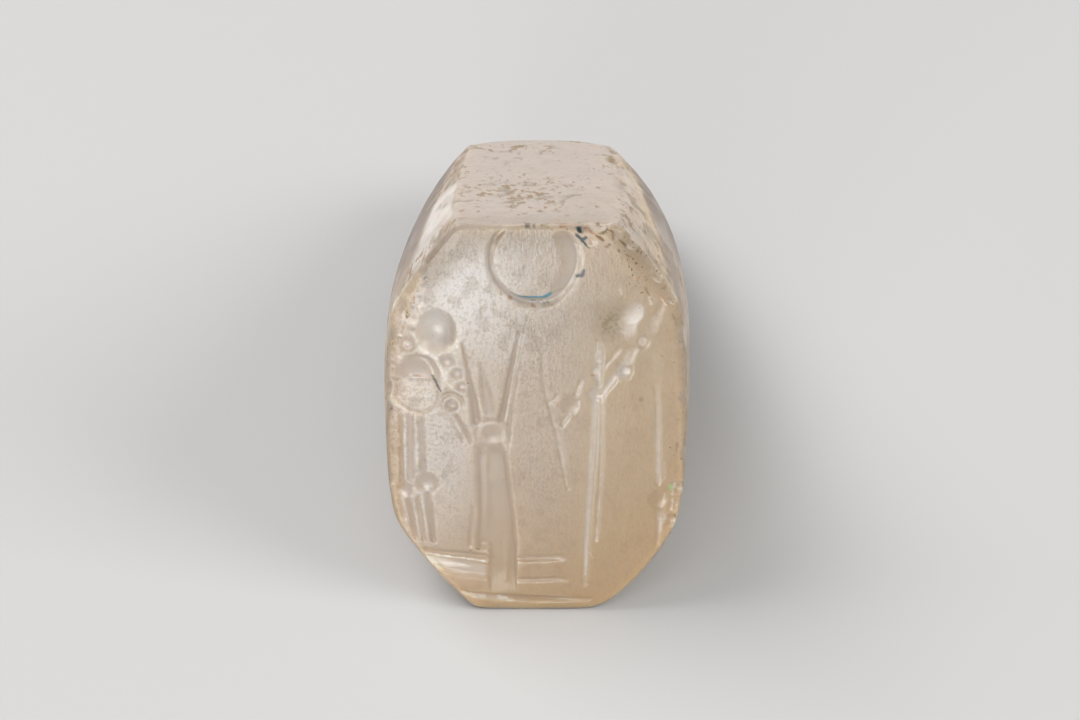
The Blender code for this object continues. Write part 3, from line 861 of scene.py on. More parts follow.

# Marks on the face: colour, strength and the (x, h, half width) places that each one runs through. Most are
# stains, dirt and chips; some pale ones are painted highlights on small facets and glints, and one grey one
# is painted shade
FACE_MARKS = (
    (BLUE, 0.95, (-0.86, 7.05, 0.07), (-0.35, 7.02, 0.05), (0.15, 7.0, 0.05), (0.45, 7.06, 0.08),
     (0.74, 7.25, 0.06)),
    (GREY, 0.7, (0.74, 7.25, 0.04), (1.05, 7.37, 0.04), (1.33, 7.42, 0.03)),
    (PURPLE, 0.55, (-0.25, 6.73, 0.04), (0.22, 6.73, 0.04)),
    (TEAL, 0.6, (0.36, 6.68, 0.06), (0.56, 6.72, 0.06)),
    (GREY, 0.7, (0.24, 6.86, 0.05), (0.32, 6.8, 0.05)),
    (BROWN, 0.8, (-1.36, 6.95, 0.07), (-1.24, 6.87, 0.06)),
    (BROWN, 0.85, (-0.24, 6.55, 0.07), (-0.08, 6.48, 0.06)),
    (OLIVE, 0.5, (0.3, 6.52, 0.06), (0.8, 6.62, 0.05)),
    (BROWN, 0.6, (-1.78, 7.22, 0.05), (-1.7, 7.12, 0.05)),
    (TEAL, 1.0, (1.98, 10.6, 0.05), (2.09, 10.54, 0.1), (2.18, 10.46, 0.05)),
    (TEAL, 1.0, (1.94, 10.34, 0.07), (2.08, 10.22, 0.07), (2.22, 10.07, 0.07), (2.5, 9.72, 0.05)),
    (MOSS, 0.8, (2.5, 9.72, 0.05), (2.58, 9.66, 0.05)),
    (TEAL, 1.0, (2.22, 10.09, 0.06), (2.4, 10.2, 0.08)),
    (GREY, 0.75, (2.56, 9.72, 0.03), (2.99, 9.59, 0.04)),
    (BROWN, 0.45, (1.62, 10.64, 0.04), (1.94, 10.4, 0.03)),
    (MOSS, 0.8, (2.95, 10.78, 0.05), (3.0, 10.68, 0.05)),
    (MOSS, 0.95, (3.1, 10.4, 0.06), (3.28, 10.46, 0.06), (3.44, 10.58, 0.05)),
    (UMBER, 1.0, (2.92, 10.31, 0.05), (3.1, 10.18, 0.08), (3.25, 10.06, 0.06)),
    (ORANGE, 0.6, (2.4, 10.6, 0.04), (2.92, 10.33, 0.04)),
    (UMBER, 0.75, (3.62, 10.5, 0.04), (3.76, 10.32, 0.04), (3.74, 10.1, 0.06)),
    (UMBER, 0.95, (3.4, 9.7, 0.06), (3.57, 9.85, 0.05)),
    (UMBER, 0.75, (4.06, 10.04, 0.05), (4.22, 9.9, 0.05)),
    (MOSS, 0.75, (4.24, 9.86, 0.04), (4.34, 9.7, 0.05)),
    (MOSS, 0.8, (4.0, 9.52, 0.05), (4.06, 9.43, 0.05)),
    (MOSS, 0.8, (4.82, 9.66, 0.04), (4.95, 9.36, 0.05)),
    (MOSS, 0.6, (4.4, 9.28, 0.05), (4.5, 9.18, 0.04)),
    (PURPLE, 0.95, (2.0, 8.13, 0.07), (2.2, 8.22, 0.11), (2.32, 8.46, 0.06)),
    (PALE, 0.45, (2.52, 9.76, 0.05), (2.8, 9.76, 0.05), (2.72, 10.04, 0.05)),
    (PALE, 0.3, (2.36, 10.78, 0.07), (2.85, 10.55, 0.07)),
    # Painted shade on the right wall inside the left figure's head
    (GREY, 0.35, (-4.28, 6.0, 0.1), (-4.08, 5.3, 0.13), (-4.15, 4.6, 0.1)),
    (DARK, 0.8, (-0.5, 10.78, 0.05), (-0.38, 10.77, 0.05)),
    (DARK, 0.65, (-0.18, 10.79, 0.05), (-0.08, 10.78, 0.05)),
    (OLIVE, 0.75, (0.25, 10.79, 0.04), (0.55, 10.76, 0.04)),
    (ORANGE, 0.55, (1.15, 10.74, 0.05), (1.45, 10.72, 0.06)),
    (DARK, 0.85, (-3.8, 10.8, 0.06), (-3.76, 10.74, 0.05)),
    (DARK, 0.6, (-3.5, 10.78, 0.05),),
    (DARK, 0.8, (-5.1, 2.66, 0.04), (-4.98, 2.25, 0.06), (-4.74, 1.8, 0.04)),
    (PINK, 0.6, (-5.9, 2.52, 0.05), (-5.2, 2.5, 0.05)),
    (DARK, 0.75, (-5.5, 7.95, 0.05), (-5.42, 8.02, 0.05)),
    (BLUE, 0.6, (-6.44, 5.62, 0.06),),
    (GREY, 0.6, (-6.3, 5.14, 0.06), (-5.95, 5.2, 0.05)),
    (OLIVE, 0.5, (-6.5, 5.3, 0.06), (-6.86, 4.31, 0.05)),
    (GOLD, 0.42, (-6.42, 6.6, 0.1), (-6.22, 7.0, 0.16), (-5.95, 7.6, 0.12), (-5.7, 8.2, 0.1)),
    (GOLD, 0.75, (-6.24, 6.35, 0.16), (-6.32, 6.0, 0.16), (-6.45, 5.75, 0.1)),
    (RUST, 0.6, (-6.18, 6.55, 0.08), (-5.98, 6.9, 0.07)),
    (RUST, 0.5, (-6.62, 5.2, 0.05), (-6.45, 5.45, 0.05)),
    (OLIVE, 0.4, (0.04, 4.15, 0.08),),
    (OLIVE, 0.4, (0.08, 3.7, 0.09),),
    (PALE, 0.3, (-1.62, -0.45, 0.12), (-1.56, -1.0, 0.13), (-1.52, -1.4, 0.05)),
    (OLIVE, 0.3, (-1.36, 0.05, 0.04), (-1.3, -0.5, 0.04), (-1.42, -1.25, 0.04)),
    (OLIVE, 0.7, (-6.36, 6.22, 0.05), (-6.32, 6.0, 0.06)),
    (DARK, 0.65, (-5.8, 7.25, 0.05),),
    (DARK, 0.5, (-5.72, 6.95, 0.04),),
    (PURPLE, 0.35, (-6.05, 6.38, 0.1),),
    (BLUE, 0.45, (-5.28, 7.62, 0.07),),
    (PALE, 0.75, (-5.6, 6.6, 0.11), (-5.75, 6.4, 0.06)),
    (PALE, 0.6, (-5.65, 6.05, 0.1),),
    (PALE, 0.75, (-6.25, 5.5, 0.12), (-5.9, 5.6, 0.16)),
    (YELLOW, 0.75, (-7.1, 4.42, 0.08),),
    (PINK, 0.45, (-7.2, 1.95, 0.09),),
    (DARK, 0.8, (-7.14, 0.68, 0.06),),
    (PINK, 0.45, (-6.98, 0.62, 0.07), (-6.7, 0.66, 0.05)),
    (DARK, 0.7, (-3.3, -7.16, 0.03), (-2.88, -7.12, 0.03)),
    (BLUE, 0.55, (-1.9, -10.4, 0.06),),
    (OLIVE, 0.55, (5.14, 1.32, 0.12),),
    (OLIVE, 0.5, (4.3, 0.95, 0.05),),
    (OLIVE, 0.5, (6.15, 3.68, 0.06),),
    (RUST, 0.55, (4.7, 8.05, 0.05), (5.02, 7.95, 0.05)),
    (OLIVE, 0.85, (5.34, 7.45, 0.05), (5.46, 7.12, 0.05), (5.58, 6.85, 0.03)),
    (PALE, 0.6, (5.5, 7.0, 0.04), (5.6, 6.58, 0.06)),
    (RUST, 0.55, (6.02, 7.05, 0.05), (6.36, 6.7, 0.04)),
    (BROWN, 0.7, (6.3, 7.5, 0.05), (6.22, 7.35, 0.04)),
    (OLIVE, 0.8, (6.64, 5.98, 0.04), (6.74, 5.75, 0.06)),
    (PALE, 0.6, (6.15, 6.8, 0.05), (6.32, 6.5, 0.04)),
    (OLIVE, 0.6, (7.0, 0.1, 0.05),),
    (OLIVE, 0.75, (6.95, -1.2, 0.05), (6.9, -1.6, 0.04)),
    (OLIVE, 0.6, (6.85, -2.8, 0.05),),
    (OLIVE, 0.55, (6.8, 5.7, 0.05), (6.9, 5.3, 0.04)),
    (OLIVE, 0.5, (6.42, 6.52, 0.06),),
    (OLIVE, 0.5, (6.95, 1.3, 0.05),),
    (PALE, 0.6, (6.84, -3.55, 0.07), (6.72, -4.1, 0.05)),
    (GREEN, 0.9, (6.6, -3.66, 0.09), (6.68, -3.84, 0.07)),
    # Painted glint on the rim of the right figure's drilled ball
    (PALE, 0.3, (6.18, -4.8, 0.04), (6.36, -4.05, 0.05)),
    (PALE, 0.65, (6.74, -4.35, 0.04), (6.66, -5.0, 0.04)),
    (PALE, 0.4, (6.35, -5.3, 0.09),),
    (PALE, 0.8, (-6.66, 4.82, 0.09),),
    (PALE, 0.7, (-6.4, 5.75, 0.16), (-6.05, 5.55, 0.1)),
    # Painted highlight on the small facet below the left figure's head
    (PALE, 0.55, (-4.3, 4.2, 0.07), (-3.95, 4.3, 0.12), (-3.84, 4.75, 0.06)),
)

# Pale edges, floors and hollows of the cuts, partly frosted wear and partly painted highlights where walls
# and hollows face the lamps: the same without a colour, since all of them are pale
PALE_EDGES_AND_HIGHLIGHTS = (
    (0.62, (-1.66, 10.54, 0.05), (-1.99, 10.14, 0.07), (-2.15, 9.57, 0.08), (-2.18, 9.07, 0.09),
     (-2.12, 8.5, 0.08), (-1.93, 8.0, 0.07), (-1.6, 7.5, 0.06), (-1.1, 7.16, 0.04)),
    (0.27, (-2.0, 9.9, 0.04), (-1.99, 9.0, 0.04), (-1.85, 8.3, 0.04), (-1.5, 7.7, 0.03)),
    (0.66, (1.89, 9.82, 0.07), (2.05, 9.57, 0.09), (2.09, 9.14, 0.08), (2.05, 8.64, 0.08),
     (1.98, 8.36, 0.07), (1.78, 7.86, 0.07), (1.51, 7.43, 0.06), (1.09, 6.93, 0.04)),
    (0.39, (2.15, 9.75, 0.06), (2.28, 9.35, 0.06), (2.27, 8.8, 0.06)),
    (0.66, (-6.17, 5.05, 0.04), (-5.93, 4.71, 0.05), (-5.65, 4.14, 0.06), (-5.46, 3.9, 0.09),
     (-5.03, 3.71, 0.09), (-4.84, 3.48, 0.08), (-4.65, 2.9, 0.06), (-4.5, 2.43, 0.05), (-4.17, 2.05, 0.05)),
    (0.51, (-4.35, 4.02, 0.1), (-4.05, 4.05, 0.14), (-3.84, 4.6, 0.09), (-3.74, 5.3, 0.05)),
    (0.62, (-6.05, 5.56, 0.26),),
    (0.58, (-6.53, 4.24, 0.05), (-6.46, 4.4, 0.05), (-6.31, 4.47, 0.05), (-6.16, 4.4, 0.05),
     (-6.08, 4.24, 0.05), (-6.16, 4.08, 0.05), (-6.31, 4.0, 0.05), (-6.46, 4.08, 0.05), (-6.53, 4.24, 0.05)),
    (0.7, (-6.31, 4.26, 0.08),),
    (0.31, (-4.38, 3.3, 0.16),),
    (0.43, (-3.64, 2.02, 0.14),),
    (0.23, (-4.15, 1.05, 0.18),),
    (0.55, (-6.66, 3.55, 0.15), (-6.72, 3.25, 0.08)),
    (0.32, (-7.0, 1.2, 0.07), (-6.6, 0.78, 0.07), (-6.15, 0.46, 0.07), (-5.7, 0.42, 0.06)),
    (0.55, (-6.82, -0.7, 0.07), (-6.78, -1.4, 0.05)),
    (0.3, (-6.84, -2.0, 0.04), (-6.86, -3.0, 0.04)),
    (0.22, (-5.92, -0.7, 0.05), (-5.9, -2.5, 0.05)),
    (0.3, (-5.62, -3.82, 0.13), (-5.42, -3.7, 0.1)),
    (0.36, (-6.72, -4.0, 0.14), (-6.5, -4.2, 0.12)),
    (0.47, (-7.05, -3.5, 0.07),),
    (0.27, (-3.66, 4.6, 0.04), (-3.15, 2.6, 0.04), (-2.62, 0.5, 0.05)),
    (0.4, (-0.62, 5.0, 0.05), (-0.95, 3.4, 0.07), (-1.25, 1.7, 0.07), (-1.5, 0.3, 0.06)),
    (0.3, (-1.22, 0.1, 0.05), (-1.2, -0.5, 0.06), (-1.36, -1.25, 0.05)),
    (0.12, (-1.2, -3.2, 0.04), (-0.98, -5.6, 0.05), (-0.8, -7.0, 0.05)),
    (0.6, (-5.5, -7.4, 0.04), (-4.0, -7.62, 0.06), (-2.6, -7.8, 0.06)),
    (0.55, (-3.7, -9.6, 0.06), (-3.1, -9.86, 0.09), (-1.8, -9.96, 0.08), (-1.1, -10.1, 0.04)),
    (0.22, (-0.92, -7.45, 0.06), (-0.2, -7.6, 0.06), (1.2, -7.58, 0.05)),
    (0.17, (-0.9, -8.95, 0.06), (1.2, -8.8, 0.05)),
    (0.7, (3.03, 4.56, 0.04), (3.07, 4.2, 0.11), (3.05, 3.75, 0.14), (3.04, 3.5, 0.14)),
    (0.5, (2.94, 2.92, 0.16),),
    (0.35, (3.12, 3.2, 0.05), (3.12, 2.3, 0.05)),
    (0.35, (3.25, 3.0, 0.03), (3.6, 3.45, 0.04), (3.78, 3.7, 0.08), (4.02, 4.08, 0.1)),
    (0.6, (3.2, 1.15, 0.04), (3.27, 1.55, 0.05), (3.4, 1.92, 0.11), (3.62, 2.2, 0.16), (3.82, 2.6, 0.09)),
    (0.5, (4.42, 2.86, 0.19),),
    (0.32, (4.4, 3.42, 0.26), (4.7, 4.0, 0.2)),
    (0.5, (5.22, 4.46, 0.22),),
    (0.24, (5.62, 5.2, 0.26), (5.8, 5.7, 0.22)),
    (0.12, (5.98, 6.1, 0.14), (6.25, 6.7, 0.08)),
    (0.32, (2.88, 1.1, 0.12), (2.75, -1.5, 0.12), (2.55, -5.0, 0.09), (2.42, -8.6, 0.07)),
    (0.4, (3.2, 1.2, 0.04), (3.18, -2.8, 0.04), (2.95, -6.6, 0.04)),
    (0.4, (0.62, 1.25, 0.05), (0.85, 1.36, 0.06), (1.05, 1.66, 0.05)),
    (0.45, (1.95, 1.75, 0.05), (2.2, 2.45, 0.05)),
    (0.5, (2.1, 1.34, 0.05), (2.08, 1.0, 0.07), (1.92, 0.7, 0.05)),
    (0.28, (1.26, 0.05, 0.05), (1.5, 0.45, 0.1)),
    (0.16, (0.35, 2.5, 0.06), (0.75, 0.6, 0.06), (1.0, -0.3, 0.08)),
    (0.3, (0.66, 1.1, 0.07), (1.03, -0.3, 0.11), (1.28, -1.9, 0.1), (1.5, -3.4, 0.05)),
    (0.39, (4.08, 7.38, 0.08), (4.15, 7.15, 0.05)),
    (0.2, (5.86, 2.0, 0.03), (5.95, 0.5, 0.08), (5.97, -1.5, 0.11), (5.97, -2.8, 0.1)),
    (0.47, (6.05, -5.45, 0.07), (6.4, -5.5, 0.06)),
    (0.39, (6.25, -5.65, 0.1), (6.12, -6.1, 0.1)),
    (0.2, (6.05, -6.8, 0.06), (6.1, -7.2, 0.06)),
    (0.28, (2.6, -7.28, 0.03), (2.85, -7.65, 0.03)),
)

# Marks on the upper facet: the same, with (x, d, half width) places
UPPER_MARKS = (
    (OLIVE, 0.8, (-3.5, 22.1, 0.1), (-2.9, 22.0, 0.07)),
    (OLIVE, 0.7, (-3.72, 13.3, 0.16),),
    (OLIVE, 0.45, (-1.7, 21.0, 0.12), (-1.45, 21.1, 0.12)),
    (BROWN, 0.4, (-2.75, 19.6, 0.1), (-2.4, 19.2, 0.12)),
    (OLIVE, 0.5, (-1.53, 12.1, 0.18),),
    (ORANGE, 0.45, (-2.38, 8.6, 0.16), (-1.85, 8.2, 0.14)),
    (OLIVE, 0.5, (-1.55, 6.2, 0.14), (-1.0, 7.0, 0.16)),
    (OLIVE, 0.45, (0.62, 13.0, 0.18),),
    (OLIVE, 0.5, (0.2, 10.0, 0.14), (0.42, 10.3, 0.14)),
    (ORANGE, 0.5, (0.48, 6.0, 0.15), (0.66, 6.3, 0.12)),
    (BROWN, 0.35, (0.95, 11.0, 0.14), (1.15, 10.6, 0.1)),
    (OLIVE, 0.45, (0.7, 21.9, 0.1), (1.2, 22.0, 0.1)),
    (BROWN, 0.4, (1.25, 13.3, 0.08), (1.45, 13.2, 0.08)),
    (OLIVE, 0.45, (2.05, 10.1, 0.07), (2.3, 9.9, 0.08)),
    (OLIVE, 0.6, (2.2, 5.0, 0.15),),
    (OLIVE, 0.4, (1.54, 3.0, 0.08),),
    (BROWN, 0.4, (0.75, 3.9, 0.12), (0.95, 4.0, 0.08)),
    (OLIVE, 0.7, (3.4, 20.2, 0.12), (3.85, 19.8, 0.16)),
    (GOLD, 0.7, (3.78, 19.6, 0.24), (4.0, 18.6, 0.46), (4.1, 17.2, 0.36)),
    (ORANGE, 0.5, (3.8, 19.4, 0.16), (4.05, 18.9, 0.24)),
    (BROWN, 0.55, (-3.35, 22.9, 0.12), (-2.7, 21.8, 0.1)),
    (PALE, 0.4, (3.7, 17.6, 0.35), (4.2, 16.4, 0.3)),
    (OLIVE, 0.7, (3.28, 1.0, 0.07),),
    (OLIVE, 0.6, (3.8, 2.3, 0.09),),
)


def layered(colour, *layers):
    """Colours with a share of each new colour mixed in, one after another."""
    for new, share in layers:
        colour = colour + (np.array(new) - colour) * np.asarray(share)[..., None]
    return colour


def draw_marks(colour, a, b, marks, where, wobble):
    """Paint marks over the colours, with edges that wander a little."""
    wander_a = a + wobble * (rough(a, b, 2 * wobble, 90) - 0.5)
    wander_b = b + wobble * (rough(a, b, 2 * wobble, 93) - 0.5)
    for new, strength, *places in marks:
        share = stroke_share(wander_a, wander_b, places)
        colour = layered(colour, (new, strength * fade(1.35, 0.8, share) * where))
    return colour


def face_tones(x, h, cut, gap):
    """Base colour of the engraved face."""
    # Whiter at the upper left: frosted surface, and painted sheen where the lamps' glare falls
    frost = spot(x, h, (-3.4, 7.2), (3.4, 3.4)) * (1 - 0.25 * cut)
    low_frost = 0.45 * spot(x, h, (-5.4, -1.2), (2.4, 4.6), 3) * (1 - 0.55 * cut)
    smooth = np.maximum.reduce([
        spot(x, h, (4.15, 5.8), (1.5, 1.5), 4),
        spot(x, h, (5.35, 2.6), (0.9, 2.8), 4),
        spot(x, h, (1.6, 1.1), (0.6, 0.62), 4),
        spot(x, h, (5.98, -4.35), (0.6, 0.65), 4),
    ])
    dots = fade(0.5, 0.66, rough(x, h, 0.13, 95, octaves=2))
    # Painted highlight along the steep right wall of the right figure's head
    head_highlight = fade(4.1, 5.2, x) * fade(0.02, -0.1, x - np.interp(h, *zip(*HEAD_EDGE)))
    inside, scratches = scratched_ground(x, h)
    return layered(
        np.tile(MILK, (len(x), 1)),
        (BEIGE, fade(0.5, 4.5, x)),
        # Warmer towards the lower right: painted glow of light that has come a long way through the stone
        (AMBER, fade(0.0, 11.0, 0.42 * x - 0.85 * h)),
        (FROST_AND_SHEEN, np.clip(frost + low_frost, 0, 1)),
        (BEIGE, 0.88 * fade(-6.4, -6.85, x) * fade(0.9, -0.6, h)),
        (BEIGE, 0.7 * fade(-6.6, -7.0, x) * fade(3.2, 4.2, h) * fade(6.2, 5.4, h)),
        # Paler cuts at the right: frosted floors, and painted sheen
        (FROST_AND_SHEEN, 0.4 * cut * fade(0.0, 2.5, x) * (1 - smooth)),
        (SHADE, 0.4 * spot(x, h, (1.0, 6.8), (3.6, 3.2))),
        (SHADE, 0.9 * fade(2.0, 0.5, gap) * fade(6.6, 8.4, h) * fade(2.6, 0.6, x)),
        (PALE, 0.55 * chalky_block(x, h)),
        # Painted highlights in the left figure's drilled head and hands
        (PALE, 0.55 * spot(x, h, (-5.15, 4.9), (0.8, 1.05), 4)),
        (PALE, 0.3 * spot(x, h, (-4.15, 2.9), (0.75, 1.0), 4)),
        (OLIVE, 0.75 * dots * spot(x, h, (3.62, 5.6), (0.7, 0.9), 3)),
        (GREY, 0.22 * spot(x, h, (3.6, 5.65), (0.85, 1.0))),
        # Painted highlight in the right figure's head
        (FROST_AND_SHEEN, 0.6 * head_highlight * fade(4.75, 5.3, h) * fade(6.9, 6.2, h)),
        (PALE, (0.32 + 0.53 * scratches) * inside * fade(-2.4, -2.7, x)),
        # Warmer still at the bottom rim: painted glow
        (LOW_RIM, 0.6 * fade(-9.3, -10.4, h) * (1 - 0.5 * cut)),
    )


def side_tones(h, d, around, place):
    """Base colour of the facets round the stone."""
    past_left, past_right = -TOP_STEPS - place, place - TOP_STEPS
    upper = fade(5, -5, past_right) * fade(2, 0, past_left)
    wedge = fade(0, 3, past_left) * fade(29, 22, past_left)
    wedge_start = 3.0 - 2.3 * fade(4, 15, past_left)
    chamfer = fade(0, 5, past_right) * fade(32, 26, past_right)
    left, right = fade(24, 33, past_left), fade(24, 33, past_right)
    blotches = rough(around, d * 0.32, 1.0, 98)
    dark, light = fade(0.46, 0.64, blotches), fade(0.44, 0.34, blotches)
    return layered(
        np.tile(SIDE_STONE, (len(h), 1)),
        (UPPER_STONE, upper),
        # Painted highlight on the smooth wedge of the upper left chamfer
        (WEDGE, wedge * fade(wedge_start, wedge_start + 1.2, d) * fade(14.0, 11.0, d)),
        (UPPER_SHADE, 0.85 * upper * fade(4.5, 0.3, d)),
        (BEIGE, 0.75 * fade(4.5, 0.3, d) * (1 - wedge) * (1 - upper)),
        (SIDE_STONE, 0.25 * upper * fade(6.0, 12.0, place) * fade(12.0, 5.0, d)),
        (CHAMFER_STONE, chamfer),
        # Warmer lower down the sides: painted glow of light through the stone
        (AMBER, 0.6 * fade(2.0, -6.0, h)),
        (LAVENDER, 0.9 * left * fade(1.0, 10.0, d)),
        # Painted shade and dark reflection on the upper, far part of the left side
        (FAR_SIDE, 0.7 * left * fade(52, 40, past_left) * fade(10.0, 16.0, d)),
        (LAVENDER, 0.75 * right * fade(6.0, 14.0, d)),
        (UPPER_STONE, 0.85 * fade(30, 4, past_right) * fade(-6, 0, past_right)),
        (MOTTLE, 0.65 * dark * (1 - upper) * (1 - 0.6 * wedge) * (1 - 0.7 * chamfer)),
        (WEDGE, 0.2 * light * (1 - upper) * fade(0.0, 4.0, h)),
        (SIDE_STONE, fade(DEPTH - 0.2, DEPTH + 0.25, d)),
    )


def worn_left_rim(x, h):
    """Share of the chipped stretch of the rim at the left figure's head."""
    return fade(4.9, 5.5, h) * fade(8.3, 7.4, h) * (x < 0)


def stone_tones(points, around, part, place, gap, near_rim, pitted, chipped, cut, edge):
    """Base colour of every vertex, before its fine grain."""
    x, h, d = points.T
    worn_left = worn_left_rim(x, h) * (d < 1)
    worn_right = fade(5.4, 6.2, h) * fade(9.0, 8.2, h) * (x > 0)
    upper_left = fade(7.4, 8.2, h) * fade(-1.0, -2.0, x)
    softer = (1 - worn_left) * (1 - 0.45 * worn_right) * (1 - upper_left)
    tone = layered(
        np.where((part == FACE)[:, None], face_tones(x, h, cut, gap), side_tones(h, d, around, place)),
        (MILK, 0.8 * worn_left * fade(0.0, 0.2, near_rim)),
        # Painted shade along the rounded rim, darker at the worn stretches at the upper corners
        (RIM_STONE, 0.9 * near_rim * fade(-9.0, -4.0, h) * softer),
        (RIM_STONE, 0.5 * np.maximum(worn_left, worn_right) * near_rim ** 3),
        (EDGE_SHADE, near_rim * upper_left * (1 - worn_left)),
        # Paler on edges that stand out, partly frosted wear and partly painted light that thin edges let out;
        # darker in the corners of the cuts, as painted shade
        (PALE, 0.18 * fade(0.002, 0.012, edge)),
        (BEIGE, 0.2 * fade(-0.003, -0.012, edge)),
        (PALE, 0.12 * chipped),
        (OLIVE, 0.45 * pitted),
    )
    # Pale edges, partly frosted wear and partly painted highlights on walls and in hollows
    edges = [(PALE, *mark) for mark in PALE_EDGES_AND_HIGHLIGHTS]
    patchy = 0.4 + 0.75 * fade(0.3, 0.7, rough(x, h, 0.26, 96, octaves=2))
    tone = draw_marks(tone, x, h, edges, (part == FACE) * patchy, 0.05)
    tone = draw_marks(tone, x, h, FACE_MARKS, (d < 0.9) & (part != HOLE), 0.06)
    on_upper = (part == SIDE) & (np.abs(place) < TOP_STEPS + 8)
    return draw_marks(tone, x, d, UPPER_MARKS, on_upper * fade(0.2, 0.6, d), 0.15)


def soil(d, around, part, place):
    """How thickly dirt has stuck in the pits of the facets."""
    upper, left_chamfer, _ = facets(place)
    middle, far = spot(around, d, (-1.0, 9.0), (3.0, 6.0), 3), spot(around, d, (-0.8, 22.0), (3.2, 2.4))
    thick = np.where(upper, np.maximum(0.3 + 0.5 * middle, 0.7 * far), 0.15 + 0.45 * fade(12.0, 6.0, d))
    thick = np.where(left_chamfer, np.maximum(0.9 * fade(4.5, 2.5, d), 0.8 * fade(11.0, 14.0, d)), thick)
    return np.where((part == SIDE) & (d > 0.5), thick * fade(DEPTH + 0.4, DEPTH - 0.2, d), 0.0)


def stains_and_shade(points, part):
    """How strongly dark marks lie on the face: stains, and the painted shade inside the left figure's head.
    Light doesn't enter there, so that they stay crisp.
    """
    x, h, d = points.T
    dark = [((1.0,), *mark[1:]) for mark in FACE_MARKS if max(mark[0]) < 0.5]
    return draw_marks(np.zeros((len(x), 1)), x, h, dark, (d < 0.9) & (part != HOLE), 0.06)[:, 0]


def grime(points, part, gap):
    """How thickly fine dirt has stuck along the rim of the face, most at its upper corners."""
    x, h, d = points.T
    rim = fade(0.75, 0.1, gap) * (0.45 + 0.3 * fade(-1.5, 0.5, x))
    rim = rim * (1 - worn_left_rim(x, h))
    inner_edge = fade(1.2, 0.7, gap) * fade(0.35, 0.6, gap) * (d < 0.1)
    rim = np.maximum(rim, 0.9 * inner_edge * spot(x, h, (-6.3, 6.4), (1.0, 1.9), 3))
    upper_right = spot(x, h, (4.9, 8.9), (2.0, 1.7))
    left = 0.6 * spot(x, h, (-6.9, 0.5), (0.4, 3.5))
    right = 0.6 * spot(x, h, (6.9, -1.0), (0.4, 5.5))
    share = np.maximum.reduce([rim, upper_right, left, right]) * fade(-9.0, -6.0, h)
    return np.where(d < 1.5, share, 0.0) * (part != HOLE)


def frosting(points, part, place, cut):
    """Where the surface is frosted, so that it glitters instead of shining evenly. The cuts are smoother."""
    x, h, _ = points.T
    frost = spot(x, h, (-3.2, 6.8), (3.8, 3.6)) + 0.7 * spot(x, h, (-5.6, -1.0), (2.4, 5.0), 3) + 0.25
    frost = frost + 0.33 * spot(x, h, (-0.1, 0.0), (2.1, 7.0), 3)
    frost = frost * (1 - 0.85 * cut) + 0.9 * chalky_block(x, h)
    _, _, right_chamfer = facets(place)
    return np.where(part == FACE, np.clip(frost, 0, 1), np.where(right_chamfer, 0.8, 0.4))


# ---------------------------------------------------------------- placing

def in_row_frame(points, origin):
    """Lay the seal on its lower facet, as the CAD does. Takes (x, h, d) in millimetres and gives metres."""
    x, h, d = points.T
    y = d * math.cos(TAPER) + h * math.sin(TAPER)
    z = h * math.cos(TAPER) - d * math.sin(TAPER)
    return np.stack([x, y, z], axis=-1) * MM + origin


def seal_origin(points):
    """Where the middle of the face's rim plane is in the row frame, from the CAD's box."""
    low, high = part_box("seal_body")
    across = (low.x + high.x) / 2 - (points[:, 0].min() + points[:, 0].max()) / 2 * MM
    front = LOWER_REACH * RIM_INSET * math.sin(TAPER)
    return Vector((across, low.y + front * MM, LOWER_REACH * math.cos(TAPER) * MM))


def outward_ways(points, faces):
    """Normal of each vertex of the smooth stone."""
    mesh = bpy.data.meshes.new("draft")
    mesh.from_pydata(points.tolist(), [], faces)
    bm = bmesh.new()
    bm.from_mesh(mesh)
    bmesh.ops.recalc_face_normals(bm, faces=bm.faces)
    bm.normal_update()
    ways = np.array([vert.normal for vert in bm.verts])
    bm.free()
    bpy.data.meshes.remove(mesh)
    return ways


def roughen(points, faces, around, part, place):
    """Sink pits into uneven facets, and drill marks into the hole. Returns where the pits are."""
    ways = outward_ways(points, faces)
    x, h, d = points.T.copy()
    pitted = pits(d, around, part, place)
    facet = (part == SIDE) * fade(0.2, 0.8, d) * fade(DEPTH + 0.3, DEPTH - 0.3, d)
    resting = np.abs(place) > place.max() - BOTTOM_STEPS - 2
    uneven = 0.05 * (rough(around, d, 3.1, 70) - 0.5) + 0.02 * (rough(around, d * 0.6, 0.5, 74) - 0.5)
    sink = pitted * PIT_DEPTH + facet * np.where(resting, 0, uneven)
    drill_marks = 0.03 * (rough(x, np.arctan2(h, d - HOLE_DEPTH), 0.4, 77) - 0.5) * (part == HOLE)
    inside = fade(0.3, 1.2, side_reach(d / DEPTH, 0) - np.abs(x))
    points -= ways * sink[:, None]
    points -= ways * (drill_marks * inside)[:, None]
    return pitted


